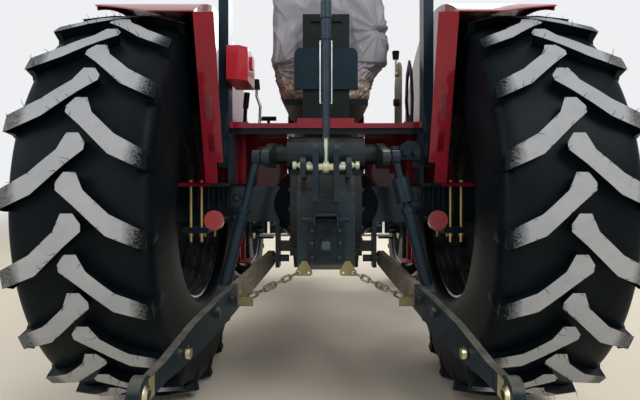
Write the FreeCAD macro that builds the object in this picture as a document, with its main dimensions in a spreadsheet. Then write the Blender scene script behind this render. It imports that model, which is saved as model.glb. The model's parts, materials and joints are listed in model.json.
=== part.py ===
import FreeCAD, Part
import math
import os
import Sketcher
from FreeCAD import Rotation, Vector

# A four-wheel-drive farm tractor of about 50 hp with a roll bar and a rear hitch, in millimetres.
# +Z is up, +Y is forward, +X is the tractor's right. The origin is on the ground under the middle
# of the whole machine.

DIMENSIONS = {
    # Running gear
    "rear_axle_y": -860, "wheelbase": 2050,
    "rear_tyre_radius": 737, "rear_tyre_width": 428, "rear_track_half": 682,
    "rear_lug_height": 36, "rear_tread_width": 388, "rear_rim_radius": 381, "rear_rim_width": 330,
    "front_tyre_radius": 480, "front_tyre_width": 262, "front_track_half": 700,
    "front_lug_height": 28, "front_tread_width": 236, "front_rim_radius": 254, "front_rim_width": 214,
    "rim_wall": 7, "tyre_seat": 0.3, "kingpin_x": 530, "seat_gap": 0.3, "steer_arm": 190, "hub_reach": 96,
    # Rear axle and clamps
    "drum_radius": 178, "axle_half_height": 71, "axle_end_x": 632, "bell_end_x": 210,
    "clamp_in_x": 365, "clamp_out_x": 604, "clamp_wall": 12, "clamp_half_y": 136,
    "clamp_bolt_x": 489, "clamp_bolt_y": 112, "arm_hole_x": 358,
    # Gearbox, engine and front frame
    "gearbox_joint": 194, "gearbox_half": 150, "gearbox_low": 430, "gearbox_top": 900, "engine_rear_y": 290,
    "engine_front_y": 990, "engine_half": 165, "engine_low": 520, "engine_top": 1130,
    "rail_wall": 22, "rail_low": 612, "rail_top": 740, "frame_front_y": 1740,
    "saddle_ear_in": 66, "saddle_ear_out": 90, "trunnion_radius": 34,
    # Cab-less station
    "fender_x": 432, "sheet_wall": 4, "fender_radius": 772, "fender_out_x": 800,
    "deck_top": 1052, "deck_wall": 19, "deck_half": 372, "deck_leg_x": 334, "step_top": 372, "floor_top": 664, "floor_half": 560,
    "rops_x": 391, "rops_wide": 38, "rops_deep": 80, "rops_low": 880, "rops_top": 2440,
    "rops_bend": 150, "rops_back": 130,
    "seat_low": 1160, "seat_half": 206, "mast_half": 90, "seat_rest_top": 1720,
    # Hood
    "hood_half": 240, "hood_rear_y": 170, "hood_front_y": 1720, "hood_top": 1370,
    "hood_low": 905, "hood_wall": 5, "hood_drop": 90, "hood_gap": 6,
    "hinge_back": 30, "hinge_up": 20, "hinge_pin_radius": 8,
    # Rear hitch
    "link_pivot_x": 223, "link_pivot_back": 50, "link_pivot_z": 518,
    "link_ball_x": 401, "link_ball_back": 970, "link_ball_z": 354, "link_thick": 22,
    "link_pin_radius": 14, "ball_bore": 11.2, "ball_radius": 27,
    "rock_back": 110, "rock_z": 935, "rock_radius": 38,
    "arm_end_x": 220, "arm_end_back": 350, "arm_end_z": 905,
    "lift_pin_x": 294, "lift_pin_back": 416, "lift_pin_z": 453,
    "top_pin_back": 452, "top_pin_z": 867, "top_pin_radius": 9.65, "top_link_run": 565,
    "a_frame_z": 757, "frame_pin_z": 697, "case_half": 96,
    "draft_pin_back": 380, "draft_pin_z": 877, "draft_pin_radius": 7,
    "chain_x": 91, "chain_back": 416, "chain_z": 521, "chain_wire": 3.3, "chain_pitch": 27,
    "chain_link_half": 8, "chain_lug_share": 0.414,
    "pto_z": 622, "pto_radius": 17.45, "pto_face_back": 425,
    # Toolbox
    "toolbox_low": 1208, "toolbox_top": 1335,
}

doc = FreeCAD.newDocument("FarmTractor")
sheet = doc.addObject("Spreadsheet::Sheet", "Sizes")


class Size(float):
    """A number that remembers which cells of the sheet it comes from."""

    def __new__(cls, value, text):
        made = float.__new__(cls, value)
        made.text = text
        return made

    def __add__(self, other):
        return Size(float(self) + float(other), f"({self.text} + {words(other)})")

    def __radd__(self, other):
        return Size(float(other) + float(self), f"({words(other)} + {self.text})")

    def __sub__(self, other):
        return Size(float(self) - float(other), f"({self.text} - {words(other)})")

    def __rsub__(self, other):
        return Size(float(other) - float(self), f"({words(other)} - {self.text})")

    def __mul__(self, other):
        return Size(float(self) * float(other), f"({self.text} * {words(other)})")

    def __rmul__(self, other):
        return Size(float(other) * float(self), f"({words(other)} * {self.text})")

    def __truediv__(self, other):
        return Size(float(self) / float(other), f"({self.text} / {words(other)})")

    def __neg__(self):
        return Size(-float(self), f"(0 - {self.text})")


def words(value):
    return value.text if isinstance(value, Size) else repr(float(value))


def root(value):
    return Size(math.sqrt(value), f"sqrt({words(value)})")


class Sizes:
    """The sheet's cells by name."""


s = Sizes()
for row, (alias, number) in enumerate(DIMENSIONS.items(), start=1):
    sheet.set(f"A{row}", alias)
    sheet.set(f"B{row}", str(number))
    sheet.setAlias(f"B{row}", alias)
    setattr(s, alias, Size(number, f"Sizes.{alias}"))
doc.recompute()

front_axle_y = s.rear_axle_y + s.wheelbase


def bind(thing, prop, value):
    if isinstance(value, Size) or "." in prop:
        thing.setExpression(prop, words(value))
    else:
        setattr(thing, prop, float(value))


def place(thing, x, y, z):
    for axis, value in zip("xyz", (x, y, z)):
        bind(thing, f"Placement.Base.{axis}", value)


def box(name, x, y, z):
    """A block from its low to its high corner, each side given as (low, high)."""
    made = doc.addObject("Part::Box", name)
    for prop, (low, high) in zip(("Length", "Width", "Height"), (x, y, z)):
        bind(made, prop, high - low)
    place(made, x[0], y[0], z[0])
    return made


TURNS = {"X": Rotation(Vector(0, 1, 0), 90), "Y": Rotation(Vector(1, 0, 0), -90), "Z": Rotation()}


def rod(name, axis, start, radius, length, end_radius=None):
    """A round bar, or a cone where end_radius is given, from start along +X, +Y or +Z."""
    if end_radius is None:
        made = doc.addObject("Part::Cylinder", name)
        bind(made, "Radius", radius)
    else:
        made = doc.addObject("Part::Cone", name)
        bind(made, "Radius1", radius)
        bind(made, "Radius2", end_radius)
    bind(made, "Height", length)
    made.Placement = FreeCAD.Placement(Vector(), TURNS[axis])
    place(made, *start)
    return made


def bar(name, a, b, radius):
    """A round bar between two points that may lie in any direction."""
    made = doc.addObject("Part::Cylinder", name)
    bind(made, "Radius", radius)
    run = [b[i] - a[i] for i in range(3)]
    length = root(run[0] * run[0] + run[1] * run[1] + run[2] * run[2])
    bind(made, "Height", length)
    # Turning Z onto the run is a half turn about the line midway between the two.
    made.Placement = FreeCAD.Placement(Vector(), Rotation(Vector(*run) / float(length) + Vector(0, 0, 1), 180))
    for axis, value in zip("xyz", (run[0] / length, run[1] / length, run[2] / length + 1)):
        bind(made, f"Placement.Rotation.Axis.{axis}", value)
    bind(made, "Placement.Rotation.Angle", 180)
    place(made, *a)
    return made


def origin_of(body, role):
    return [feature for feature in body.Origin.OriginFeatures if feature.Role == role][0]


def draw(body, name, plane, outline, level=0.0):
    """A closed sketch: each point is (across, up), or (across, up, sag) where an arc starts,
    with sag its bulge to the left of the way to the next point."""
    sketch = body.newObject("Sketcher::SketchObject", name)
    sketch.AttachmentSupport = [(origin_of(body, f"{plane}_Plane"), "")]
    sketch.MapMode = "FlatFace"
    bind(sketch, "AttachmentOffset.Base.z", level)
    starts = []
    arcs = []
    for i, point in enumerate(outline):
        after = outline[(i + 1) % len(outline)]
        a, b = Vector(point[0], point[1], 0), Vector(after[0], after[1], 0)
        if len(point) == 2:
            sketch.addGeometry(Part.LineSegment(a, b), False)
            starts.append(1)
            continue
        sag = point[2]
        dx, dy = after[0] - point[0], after[1] - point[1]
        radius = ((dx * dx + dy * dy) / 4 + sag * sag) / (2 * sag)
        side = Vector(-float(dy), float(dx), 0).normalize()
        centre = (a + b) * 0.5 + side * (float(sag) - float(radius))
        angles = [math.atan2(p.y - centre.y, p.x - centre.x) for p in (a, b)]
        circle = Part.Circle(centre, Vector(0, 0, 1), abs(float(radius)))
        if sag > 0:
            angles.reverse()
            radius = -radius
        sketch.addGeometry(Part.ArcOfCircle(circle, *angles), False)
        starts.append(1 if sag < 0 else 2)
        arcs.append((i, -radius))
    for i in range(len(outline)):
        j = (i + 1) % len(outline)
        sketch.addConstraint(Sketcher.Constraint("Coincident", i, 3 - starts[i], j, starts[j]))
    for i, point in enumerate(outline):
        for kind, value in (("DistanceX", point[0]), ("DistanceY", point[1])):
            number = sketch.addConstraint(Sketcher.Constraint(kind, -1, 1, i, starts[i], float(value)))
            if isinstance(value, Size):
                sketch.setExpression(f"Constraints[{number}]", value.text)
    for i, radius in arcs:
        number = sketch.addConstraint(Sketcher.Constraint("Radius", i, float(radius)))
        if isinstance(radius, Size):
            sketch.setExpression(f"Constraints[{number}]", radius.text)
    return sketch


def plate(name, plane, outline, start, length):
    """A flat outline in the XY, XZ or YZ plane, as thick as length along the plane's axis."""
    body = doc.addObject("PartDesign::Body", name)
    add_pad(body, f"{name}_pad", plane, outline, start, length)
    return body


def add_pad(body, name, plane, outline, start, length):
    level = -(start + length) if plane == "XZ" else start
    sketch = draw(body, f"{name}_outline", plane, outline, level)
    pad = body.newObject("PartDesign::Pad", name)
    pad.Profile = sketch
    bind(pad, "Length", length)
    return pad


def turned(name, plane, outline, axis):
    """A round solid: an outline turned about the plane's own axis, H_Axis or V_Axis."""
    body = doc.addObject("PartDesign::Body", name)
    sketch = draw(body, f"{name}_outline", plane, outline)
    turn = body.newObject("PartDesign::Revolution", f"{name}_turn")
    turn.Profile = sketch
    turn.ReferenceAxis = (sketch, [axis])
    turn.Angle = 360
    return body


def fuse(name, *pieces):
    made = doc.addObject("Part::MultiFuse", name)
    made.Shapes = list(pieces)
    made.Refine = True
    return made


def cut(name, base, *tools):
    made = doc.addObject("Part::Cut", name)
    made.Base = base
    made.Tool = tools[0] if len(tools) == 1 else fuse(f"{name}_tools", *tools)
    return made


def pieces_apart(name, *pieces):
    made = doc.addObject("Part::Compound", name)
    made.Links = list(pieces)
    return made


def mirrored(name, source):
    made = doc.addObject("Part::Mirroring", name)
    made.Source = source
    made.Normal = Vector(1, 0, 0)
    return made


def spans(side, low, high):
    """A reach from low to high on the right side, or its mirror image on the left."""
    return (low, high) if side > 0 else (-high, -low)


def start_and_length(side, low, high):
    """The same reach as spans gives, as its start and its length."""
    start, end = spans(side, low, high)
    return start, end - start


nodes = {}


def node(name, made):
    made.Label = name
    nodes[name] = made
    return made


def node_pair(name, right):
    node(f"{name}_right", right)
    node(f"{name}_left", mirrored(f"{name}_left", right))


def tyre(name, radius, width, lug_height, tread_width, rim_radius, rim_width, lug_count, turn, lug, centre):
    """A carcass turned about its axle, with two staggered rows of bars that meet in a chevron.
    The bars stand turned on, by turn in degrees, from the tyre's top towards its back."""
    seat = rim_radius + s.tyre_seat
    base = radius - lug_height
    bead = rim_width / 2 - s.rim_wall * 2 - s.tyre_seat
    shoulder = tread_width / 2
    flank = (base - seat) * 0.52 + seat
    half = width / 2
    bead_wall, shoulder_run = 26, 6
    body = doc.addObject("PartDesign::Body", f"{name}_barred")
    right_half = [
        (shoulder * 0.6, base), (shoulder - shoulder_run, base - lug_height),
        (half - (half - shoulder) * 0.32, flank + (base - flank) * 0.44), (half, flank),
        (half - (half - bead) * 0.2, seat + bead_wall + (flank - seat - bead_wall) * 0.42),
        (bead, seat + bead_wall), (bead, seat)]
    outline = [(-across, up) for across, up in reversed(right_half)] + right_half
    carcass = draw(body, f"{name}_carcass", "XZ", outline)
    spin = body.newObject("PartDesign::Revolution", f"{name}_turn")
    spin.Profile = carcass
    spin.ReferenceAxis = (carcass, ["H_Axis"])
    spin.Angle = 360
    doc.recompute()
    sunk = lug_height * 0.6
    for side, phase in ((1, turn), (-1, turn + 180 / lug_count)):
        row = f"{name}_row_{'right' if side > 0 else 'left'}"
        outline = [(across * side, around) for across, around in lug]
        level = base - sunk
        sketch = draw(body, f"{row}_outline", "XY", outline, level)
        pad = body.newObject("PartDesign::Pad", f"{row}_bar")
        pad.Profile = sketch
        bind(pad, "Length", lug_height * 2 + sunk)
        sketch.MapMode = "Deactivated"
        sketch.Placement = FreeCAD.Placement(Vector(), Rotation(Vector(1, 0, 0), phase))
        bind(sketch, "Placement.Base.y", level * -math.sin(math.radians(phase)))
        bind(sketch, "Placement.Base.z", level * math.cos(math.radians(phase)))
        doc.recompute()
        pattern = body.newObject("PartDesign::PolarPattern", row)
        pattern.Originals = [pad]
        pattern.Axis = (origin_of(body, "X_Axis"), [""])
        pattern.Angle = 360
        pattern.Occurrences = lug_count
        body.Tip = pattern
        doc.recompute()
    crown = lug_height * 0.36
    over = radius + lug_height * 3
    trim = turned(f"{name}_trim", "XZ", [
        (-half, radius - crown), (-shoulder * 0.5, radius), (shoulder * 0.5, radius),
        (half, radius - crown), (half, over), (-half, over)], "H_Axis")
    made = cut(name, body, trim)
    place(made, *centre)
    return made


def rim(name, radius, width, flange_x, hub_radius, disc_radius, bolt_count, bolt_circle, centre):
    """A drop-centre rim with its disc, bolted at its middle to the hub flange by a ring of nuts."""
    wall = s.rim_wall
    lip = radius + 22
    half = width / 2
    shell = turned(f"{name}_shell", "XZ", [
        (-half, lip), (-half + wall, lip), (-half + wall * 2, radius), (-half * 0.45, radius),
        (-half * 0.3, radius - 26), (half * 0.3, radius - 26), (half * 0.45, radius),
        (half - wall * 2, radius), (half - wall, lip), (half, lip),
        (half, lip - wall), (half - wall, radius - wall), (half * 0.42, radius - wall),
        (half * 0.27, radius - 26 - wall), (-half * 0.27, radius - 26 - wall),
        (-half * 0.42, radius - wall), (-half + wall, radius - wall), (-half, lip - wall)], "H_Axis")
    dish = turned(f"{name}_dish", "XZ", [
        (flange_x, 0), (flange_x, disc_radius), (flange_x + 34, disc_radius + 34),
        (flange_x + 34, radius - 26 - wall - 3), (half * 0.2, radius - 26 - wall / 2),
        (half * 0.2 + wall, radius - 26 - wall / 2), (flange_x + 34 + wall, radius - 30 - wall),
        (flange_x + 34 + wall, disc_radius + 30), (flange_x + wall, disc_radius - 2),
        (flange_x + wall, 0)], "H_Axis")
    hub = rod(f"{name}_hub", "X", (flange_x, 0, 0), hub_radius, 58)
    nuts = []
    for i in range(bolt_count):
        angle = 2 * math.pi * (i + 0.5) / bolt_count
        at = (flange_x, bolt_circle * math.sin(angle), bolt_circle * math.cos(angle))
        nuts.append(rod(f"{name}_nut_{i}", "X", at, 13, 30))
    made = fuse(name, shell, dish, hub, *nuts)
    place(made, *centre)
    return made


def wheels():
    # Each bar: (across the tread, round the tyre) corners on its own side of the centreline.
    rear_edge = s.rear_tread_width / 2 + 4
    front_edge = s.front_tread_width / 2 + 3
    rear_lug = [(-32, -27), (-13, 0), (17, 0), (38, -47), (108, -112), (rear_edge, -160),
                (rear_edge, -210), (100, -166), (14, -84), (-31, -45)]
    front_lug = [(-20, -17), (-8, 0), (11, 0), (24, -29), (67, -69), (front_edge, -99),
                 (front_edge, -130), (62, -103), (9, -52), (-19, -28)]
    rear_centre = (s.rear_track_half, s.rear_axle_y, s.rear_tyre_radius)
    front_centre = (s.front_track_half, front_axle_y, s.front_tyre_radius)
    node_pair("rear_tyre", tyre(
        "rear_tyre_right", s.rear_tyre_radius, s.rear_tyre_width, s.rear_lug_height,
        s.rear_tread_width, s.rear_rim_radius, s.rear_rim_width, 21, 4.9, rear_lug, rear_centre))
    node_pair("front_tyre", tyre(
        "front_tyre_right", s.front_tyre_radius, s.front_tyre_width, s.front_lug_height,
        s.front_tread_width, s.front_rim_radius, s.front_rim_width, 18, 0.0, front_lug, front_centre))
    rear_flange = s.axle_end_x + s.seat_gap - s.rear_track_half
    node_pair("rear_rim", rim("rear_rim_right", s.rear_rim_radius, s.rear_rim_width, rear_flange,
                              78, 150, 8, 104, rear_centre))
    front_flange = s.kingpin_x + s.hub_reach - s.front_track_half
    node_pair("front_rim", rim("front_rim_right", s.front_rim_radius, s.front_rim_width,
                               front_flange, 62, 112, 8, 84, front_centre))


def rear_axle():
    """The centre drum, its bells and the square arms that the wheels run on."""
    half, drum, y, z = s.axle_half_height, s.drum_radius, s.rear_axle_y, s.rear_tyre_radius
    ring_in, ring_out, ring_rise, bell_wide, end_wide = 105, 136, 10, 28, 24
    core = turned("axle_core", "XZ", [
        (-s.bell_end_x, 0), (-s.bell_end_x, half), (-ring_out, drum - bell_wide),
        (-ring_out, drum + ring_rise), (-ring_in, drum + ring_rise), (-ring_in, drum), (ring_in, drum),
        (ring_in, drum + ring_rise), (ring_out, drum + ring_rise), (ring_out, drum - bell_wide),
        (s.bell_end_x, half), (s.bell_end_x, 0)], "H_Axis")
    place(core, 0, y, z)
    arm = box("axle_arm", (-s.axle_end_x + end_wide, s.axle_end_x - end_wide),
              (y - half, y + half), (z - half, z + half))
    end = rod("axle_end", "X", (-s.axle_end_x, y, z), half + 14, s.axle_end_x * 2)
    end_core = rod("axle_end_core", "X", (-s.axle_end_x + end_wide, y, z), half + 20,
                   s.axle_end_x * 2 - end_wide * 2)
    rings = cut("axle_end_rings", end, end_core)
    joint = box("gearbox_joint", (-s.gearbox_half, s.gearbox_half), (y, y + s.gearbox_joint),
                (s.gearbox_low + 90, s.gearbox_top - 80))
    # The hitch case behind the drum carries the power take-off, the chains and the top link.
    case_top = s.rock_z - s.rock_radius - 22
    case_back = y - s.pto_face_back + 12
    case = plate("hitch_case", "YZ", [
        (y + 60, case_top), (y - 210, case_top), (y - 330, z + 110), (case_back, z + 40),
        (case_back, s.pto_z - 76), (y - 300, s.pto_z - 110), (y + 60, s.pto_z - 110)],
        -s.case_half, s.case_half * 2)
    pieces = [core, arm, rings, joint, case]
    pivot_y = y - s.link_pivot_back
    ear_out = s.link_pivot_x - s.link_thick / 2 - 10
    for side in (-1, 1):
        pieces.append(box(f"pivot_ear_{side + 1}", spans(side, ear_out - 16, ear_out),
                          (pivot_y - 34, pivot_y + 34), (s.link_pivot_z - 34, z - half + 4)))
        pieces.append(box(f"pivot_web_{side + 1}", spans(side, 60, ear_out - 8),
                          (pivot_y - 20, pivot_y + 20), (s.link_pivot_z + 30, s.link_pivot_z + 70)))
        # Cheeks at the case's back edges that the two draft pins pass through.
        pieces.append(plate(f"case_cheek_{side + 1}", "YZ", [
            (y - 200, case_top - 4), (y - 200, s.draft_pin_z + 12), (y - 214, s.draft_pin_z + 26),
            (s.rear_axle_y - s.draft_pin_back, s.draft_pin_z + 26), (s.rear_axle_y - s.draft_pin_back - 24, s.draft_pin_z + 8),
            (s.rear_axle_y - s.draft_pin_back - 24, z + 100)], *start_and_length(side, 68, 86)))
        pieces.append(plate(f"arm_boss_{side + 1}", "XZ", [
            (s.arm_hole_x * side + across, z - 54 + up) for across, up in
            ((20, 0), (10, 17), (-10, 17), (-20, 0), (-10, -17), (10, -17))], y - half - 9, 12))
    pins = rod("pivot_pins", "X", (-s.link_pivot_x - 24, pivot_y, s.link_pivot_z),
               s.link_pin_radius, s.link_pivot_x * 2 + 48)
    gap = rod("pivot_gap", "X", (-150, pivot_y, s.link_pivot_z), s.link_pin_radius + 10, 300)
    pieces.append(cut("pivot_pin_pair", pins, gap))
    pieces.append(rod("rock_tube", "X", (-150, y - s.rock_back, s.rock_z), s.rock_radius + 24, 300))
    holes = [rod(f"arm_hole_{side + 1}", "Y", (s.arm_hole_x * side, y - half - 20, z + 26), 19, 34)
             for side in (-1, 1)]
    holes += [rod(f"draft_bore_{side + 1}", "X", (spans(side, 36, 120)[0], s.rear_axle_y - s.draft_pin_back, s.draft_pin_z),
                  s.draft_pin_radius + s.seat_gap, 84) for side in (-1, 1)]
    node("rear_axle_housing", cut("rear_axle_housing", fuse("rear_axle_solid", *pieces), *holes))


def gearbox():
    """The clutch and gear housing between the engine and the rear axle."""
    half, back = s.gearbox_half, s.rear_axle_y + s.gearbox_joint
    main = plate("gearbox_side", "YZ", [
        (back, s.gearbox_low + 60), (s.rear_axle_y + 260, s.gearbox_low),
        (s.engine_rear_y - 60, s.gearbox_low + 30), (s.engine_rear_y, s.gearbox_low + 80),
        (s.engine_rear_y, s.gearbox_top), (s.rear_axle_y + 800, s.gearbox_top),
        (s.rear_axle_y + 620, s.gearbox_top - 60), (back, s.gearbox_top - 60)], -half, half * 2)
    flange = box("gearbox_flange", (-half - 18, half + 18),
                 (s.rear_axle_y + 560, s.rear_axle_y + 584), (s.gearbox_low + 4, s.gearbox_top - 62))
    node("gearbox_housing", fuse("gearbox_housing", main, flange))


def engine():
    block = plate("engine_side", "YZ", [
        (s.engine_rear_y, s.engine_low), (s.engine_front_y, s.engine_low),
        (s.engine_front_y, s.engine_top - 60), (s.engine_front_y - 60, s.engine_top),
        (s.engine_rear_y + 40, s.engine_top), (s.engine_rear_y, s.engine_top - 40)],
        -s.engine_half, s.engine_half * 2)
    node("engine", block)


def front_frame():
    """Two rails that carry the radiator, the grille and the front axle's pivot, with a bumper."""
    rail_in, across = s.engine_half, s.engine_half + s.rail_wall
    front = s.frame_front_y
    ear_top = s.rail_top - 60
    pieces = [
        box("frame_nose", (-across, across), (front, front + 24), (s.rail_low - 20, s.rail_top + 10)),
        box("axle_saddle", (-rail_in, rail_in), (front_axle_y - s.saddle_ear_out, front_axle_y + s.saddle_ear_out),
            (ear_top, s.rail_top)),
        box("radiator_shelf", (-rail_in, rail_in), (front_axle_y + 120, front),
            (s.rail_top - 12, s.rail_top)),
        plate("bumper", "XY", [
            (-300, front + 30), (-250, front + 70), (250, front + 70), (300, front + 30),
            (300, front + 44), (256, front + 84), (-256, front + 84), (-300, front + 44)],
            s.rail_low - 30, 190)]
    for i, low in enumerate((front_axle_y - s.saddle_ear_out, front_axle_y + s.saddle_ear_in)):
        pieces.append(plate(f"saddle_ear_{i}", "XZ", [
            (-70, ear_top), (-60, s.front_tyre_radius - 50), (60, s.front_tyre_radius - 50), (70, ear_top)],
            low, s.saddle_ear_out - s.saddle_ear_in))
    for i, low in enumerate((-160, 130)):
        pieces.append(box(f"bumper_strut_{i}", (low, low + 30), (front + 20, front + 74),
                          (s.rail_low, s.rail_low + 100)))
    for i, low in enumerate((s.rail_low - 20, s.rail_low + 44)):
        pieces.append(box(f"tow_jaw_{i}", (-40, 40), (front + 20, front + 128), (low, low + 14)))
    hinge_y, hinge_z = s.hood_front_y - s.hinge_back, s.hood_low + s.hinge_up
    for side in (-1, 1):
        pieces.append(box(f"rail_{side + 1}", spans(side, rail_in, across),
                          (s.engine_rear_y + 60, front), (s.rail_low, s.rail_top)))
        pieces.append(plate(f"hinge_column_{side + 1}", "YZ", [
            (hinge_y - 40, s.rail_top - 4), (hinge_y - 15, s.rail_top - 4), (hinge_y - 15, hinge_z - 26),
            (hinge_y + 8, hinge_z - 9, -7), (hinge_y + 8, hinge_z + 9), (hinge_y - 40, hinge_z + 9)],
            *start_and_length(side, 150, 166)))
        pieces.append(rod(f"hinge_pin_{side + 1}", "X", (spans(side, 160, 184)[0], hinge_y, hinge_z),
                          s.hinge_pin_radius, 24))
    tow_bore = rod("tow_bore", "Z", (0, front + 104, s.rail_low - 40), 12.5, 160)
    trunnion_bore = rod("trunnion_bore", "Y", (0, front_axle_y - 120, s.front_tyre_radius),
                        s.trunnion_radius + s.seat_gap, 240)
    node("front_frame", cut("front_frame", fuse("front_frame_solid", *pieces), tow_bore, trunnion_bore))
    node("radiator", box("radiator", (-190, 190), (front_axle_y + 200, front_axle_y + 270),
                         (s.rail_top, s.rail_top + 470)))


def front_axle():
    """The driven front axle: a case on its trunnion, two tubes and the forks of the kingpins."""
    y, z, x = front_axle_y, s.front_tyre_radius, s.kingpin_x
    fork_low, fork_high, fork_wall = z - 92, z + 66, 26
    case = turned("front_case", "XZ", [
        (-150, 0), (-150, 58), (-92, 104), (92, 104), (150, 58), (150, 0)], "H_Axis")
    place(case, 0, y, z - 6)
    room = s.saddle_ear_in - s.seat_gap, s.saddle_ear_out + s.seat_gap
    rooms = [box(f"ear_room_{i}", (-75, 75), (y + reach[0], y + reach[1]), (z - 64, z + 150))
             for i, reach in enumerate(((-room[1], -room[0]), room))]
    pieces = [cut("front_case_roomed", case, *rooms),
              rod("front_tube_right", "X", (110, y, z), 52, x - 180),
              rod("front_tube_left", "X", (-x + 70, y, z), 52, x - 180)]
    for side in (-1, 1):
        pieces.append(box(f"fork_web_{side + 1}", spans(side, x - 90, x - 60), (y - 40, y + 40),
                          (fork_low, fork_high + fork_wall)))
        for low in (fork_low, fork_high):
            pieces.append(rod(f"fork_{len(pieces)}", "Z", (x * side, y, low), 40, fork_wall))
            pieces.append(box(f"fork_arm_{len(pieces)}", spans(side, x - 84, x), (y - 36, y + 36),
                              (low, low + fork_wall)))
    pieces.append(rod("trunnion", "Y", (0, y - s.saddle_ear_out - 10, z), s.trunnion_radius,
                      s.saddle_ear_out * 2 + 20))
    shaft_start = s.engine_rear_y + 60
    pieces.append(rod("front_shaft", "Y", (0, shaft_start, z), 24, y - 60 - shaft_start))
    node("front_axle", fuse("front_axle", *pieces))


def knuckle():
    """The steered hub carrier between the fork's arms, with its steering arm."""
    z = s.front_tyre_radius
    x = s.kingpin_x
    post = rod("knuckle_post", "Z", (x, front_axle_y, z - 66 + s.seat_gap), 36, 132 - s.seat_gap * 2)
    reach = s.hub_reach - s.seat_gap
    barrel = rod("knuckle_barrel", "X", (x, front_axle_y, z), 50, reach)
    flange = rod("knuckle_flange", "X", (x + reach - 21, front_axle_y, z), 96, 21)
    arm = box("steering_arm", (x - 12, x + 30), (front_axle_y - s.steer_arm, front_axle_y - 20),
              (z - 30, z - 8))
    eye = rod("steering_eye", "Z", (x, front_axle_y - s.steer_arm, z - 30), 22, 22)
    node_pair("knuckle", fuse("knuckle_right", post, barrel, flange, arm, eye))


def steering_linkage():
    """The tie rod behind the axle, whose ends hang under the two steering arms."""
    z = s.front_tyre_radius - 46
    y = front_axle_y - s.steer_arm
    tie = rod("tie_rod_bar", "X", (-s.kingpin_x, y, z), 13, s.kingpin_x * 2)
    ends = []
    for side in (-1, 1):
        x = s.kingpin_x * side
        ends.append(rod(f"tie_end_{side + 1}", "Z", (x, y, z - 14), 20, 26))
        ends.append(rod(f"tie_stud_{side + 1}", "Z", (x, y, z), 9, 16 - s.seat_gap))
    node("tie_rod", fuse("tie_rod", tie, *ends))


def axle_clamps():
    """The plates and long bolts that clamp the roll bar and the fenders to each axle arm."""
    low, high = s.rear_tyre_radius - s.axle_half_height, s.rear_tyre_radius + s.axle_half_height
    arm_back = s.rear_axle_y - s.axle_half_height
    foot_low, foot_high = low - 18, low - 40
    pieces = [
        box("clamp_top", (s.clamp_in_x, s.clamp_out_x),
            (s.rear_axle_y - s.rops_back - 46, s.rear_axle_y + s.clamp_half_y + 2), (high, high + s.clamp_wall)),
        box("clamp_bottom", (s.clamp_bolt_x - 32, s.clamp_bolt_x + 68),
            (s.rear_axle_y - s.clamp_bolt_y - 24, s.rear_axle_y + s.clamp_bolt_y + 24), (foot_high, foot_low)),
        box("clamp_pad", (s.clamp_bolt_x - 28, s.clamp_bolt_x + 64),
            (arm_back + 8, s.rear_axle_y + s.axle_half_height - 8), (foot_low, low)),
        box("clamp_ear", (s.rops_x - s.rops_wide / 2 - 14, s.rops_x - s.rops_wide / 2),
            (s.rear_axle_y - s.rops_back - 46, s.rear_axle_y - s.rops_back + 46),
            (high + s.clamp_wall, s.rops_low + 130))]
    for x in (s.clamp_bolt_x, s.clamp_bolt_x + 42):
        for y in (s.rear_axle_y - s.clamp_bolt_y, s.rear_axle_y + s.clamp_bolt_y):
            name = f"clamp_bolt_{len(pieces)}"
            pieces.append(rod(name, "Z", (x, y, foot_high - 36), 5.5, high - foot_high + 60))
            pieces.append(rod(f"{name}_head", "Z", (x, y, high + s.clamp_wall + 4), 10, 9))
            pieces.append(rod(f"{name}_nut", "Z", (x, y, foot_high - 12), 10, 12))
    # Ribs down the arm's back face: (x, how far each reaches down from the arm's top).
    for x, reach in ((392, 81), (411, 48), (429, 93), (452, 48), (470, 93), (510, 104), (549, 104)):
        pieces.append(rod(f"clamp_rib_{x}", "Z", (x, arm_back - 7, high - reach), 6.5, reach + 4))
    node_pair("axle_clamp", fuse("axle_clamp_right", *pieces))


def rops():
    """The roll bar: one rectangular tube bent over two posts, with a tube across under the deck."""
    out = s.rops_x + s.rops_wide / 2
    inn = s.rops_x - s.rops_wide / 2
    bend, bend_in = s.rops_bend, s.rops_bend - s.rops_wide
    bulge = 1 - math.sqrt(0.5)
    hoop = plate("rops_hoop", "XZ", [
        (out, s.rops_low), (out, s.rops_top - bend, bend * -bulge),
        (out - bend, s.rops_top), (-out + bend, s.rops_top, bend * -bulge),
        (-out, s.rops_top - bend), (-out, s.rops_low), (-inn, s.rops_low),
        (-inn, s.rops_top - bend, bend_in * bulge), (-out + bend, s.rops_top - s.rops_wide),
        (out - bend, s.rops_top - s.rops_wide, bend_in * bulge), (inn, s.rops_top - bend),
        (inn, s.rops_low)], s.rear_axle_y - s.rops_back - s.rops_deep / 2, s.rops_deep)
    deck_low = s.deck_top - s.deck_wall
    across = box("rops_cross_tube", (-inn - 2, inn + 2),
                 (s.rear_axle_y - s.rops_back, s.rear_axle_y - s.rops_back + 26), (deck_low - 20, deck_low))
    node("rops", fuse("rops", hoop, across))


def on_arc(radius, degrees):
    """A point at an angle back from straight up over the rear axle, in the side view."""
    angle = math.radians(degrees)
    return s.rear_axle_y - radius * math.sin(angle), s.rear_tyre_radius + radius * math.cos(angle)


def arc_sag(radius, degrees):
    return radius * (1 - math.cos(math.radians(degrees / 2)))


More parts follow.
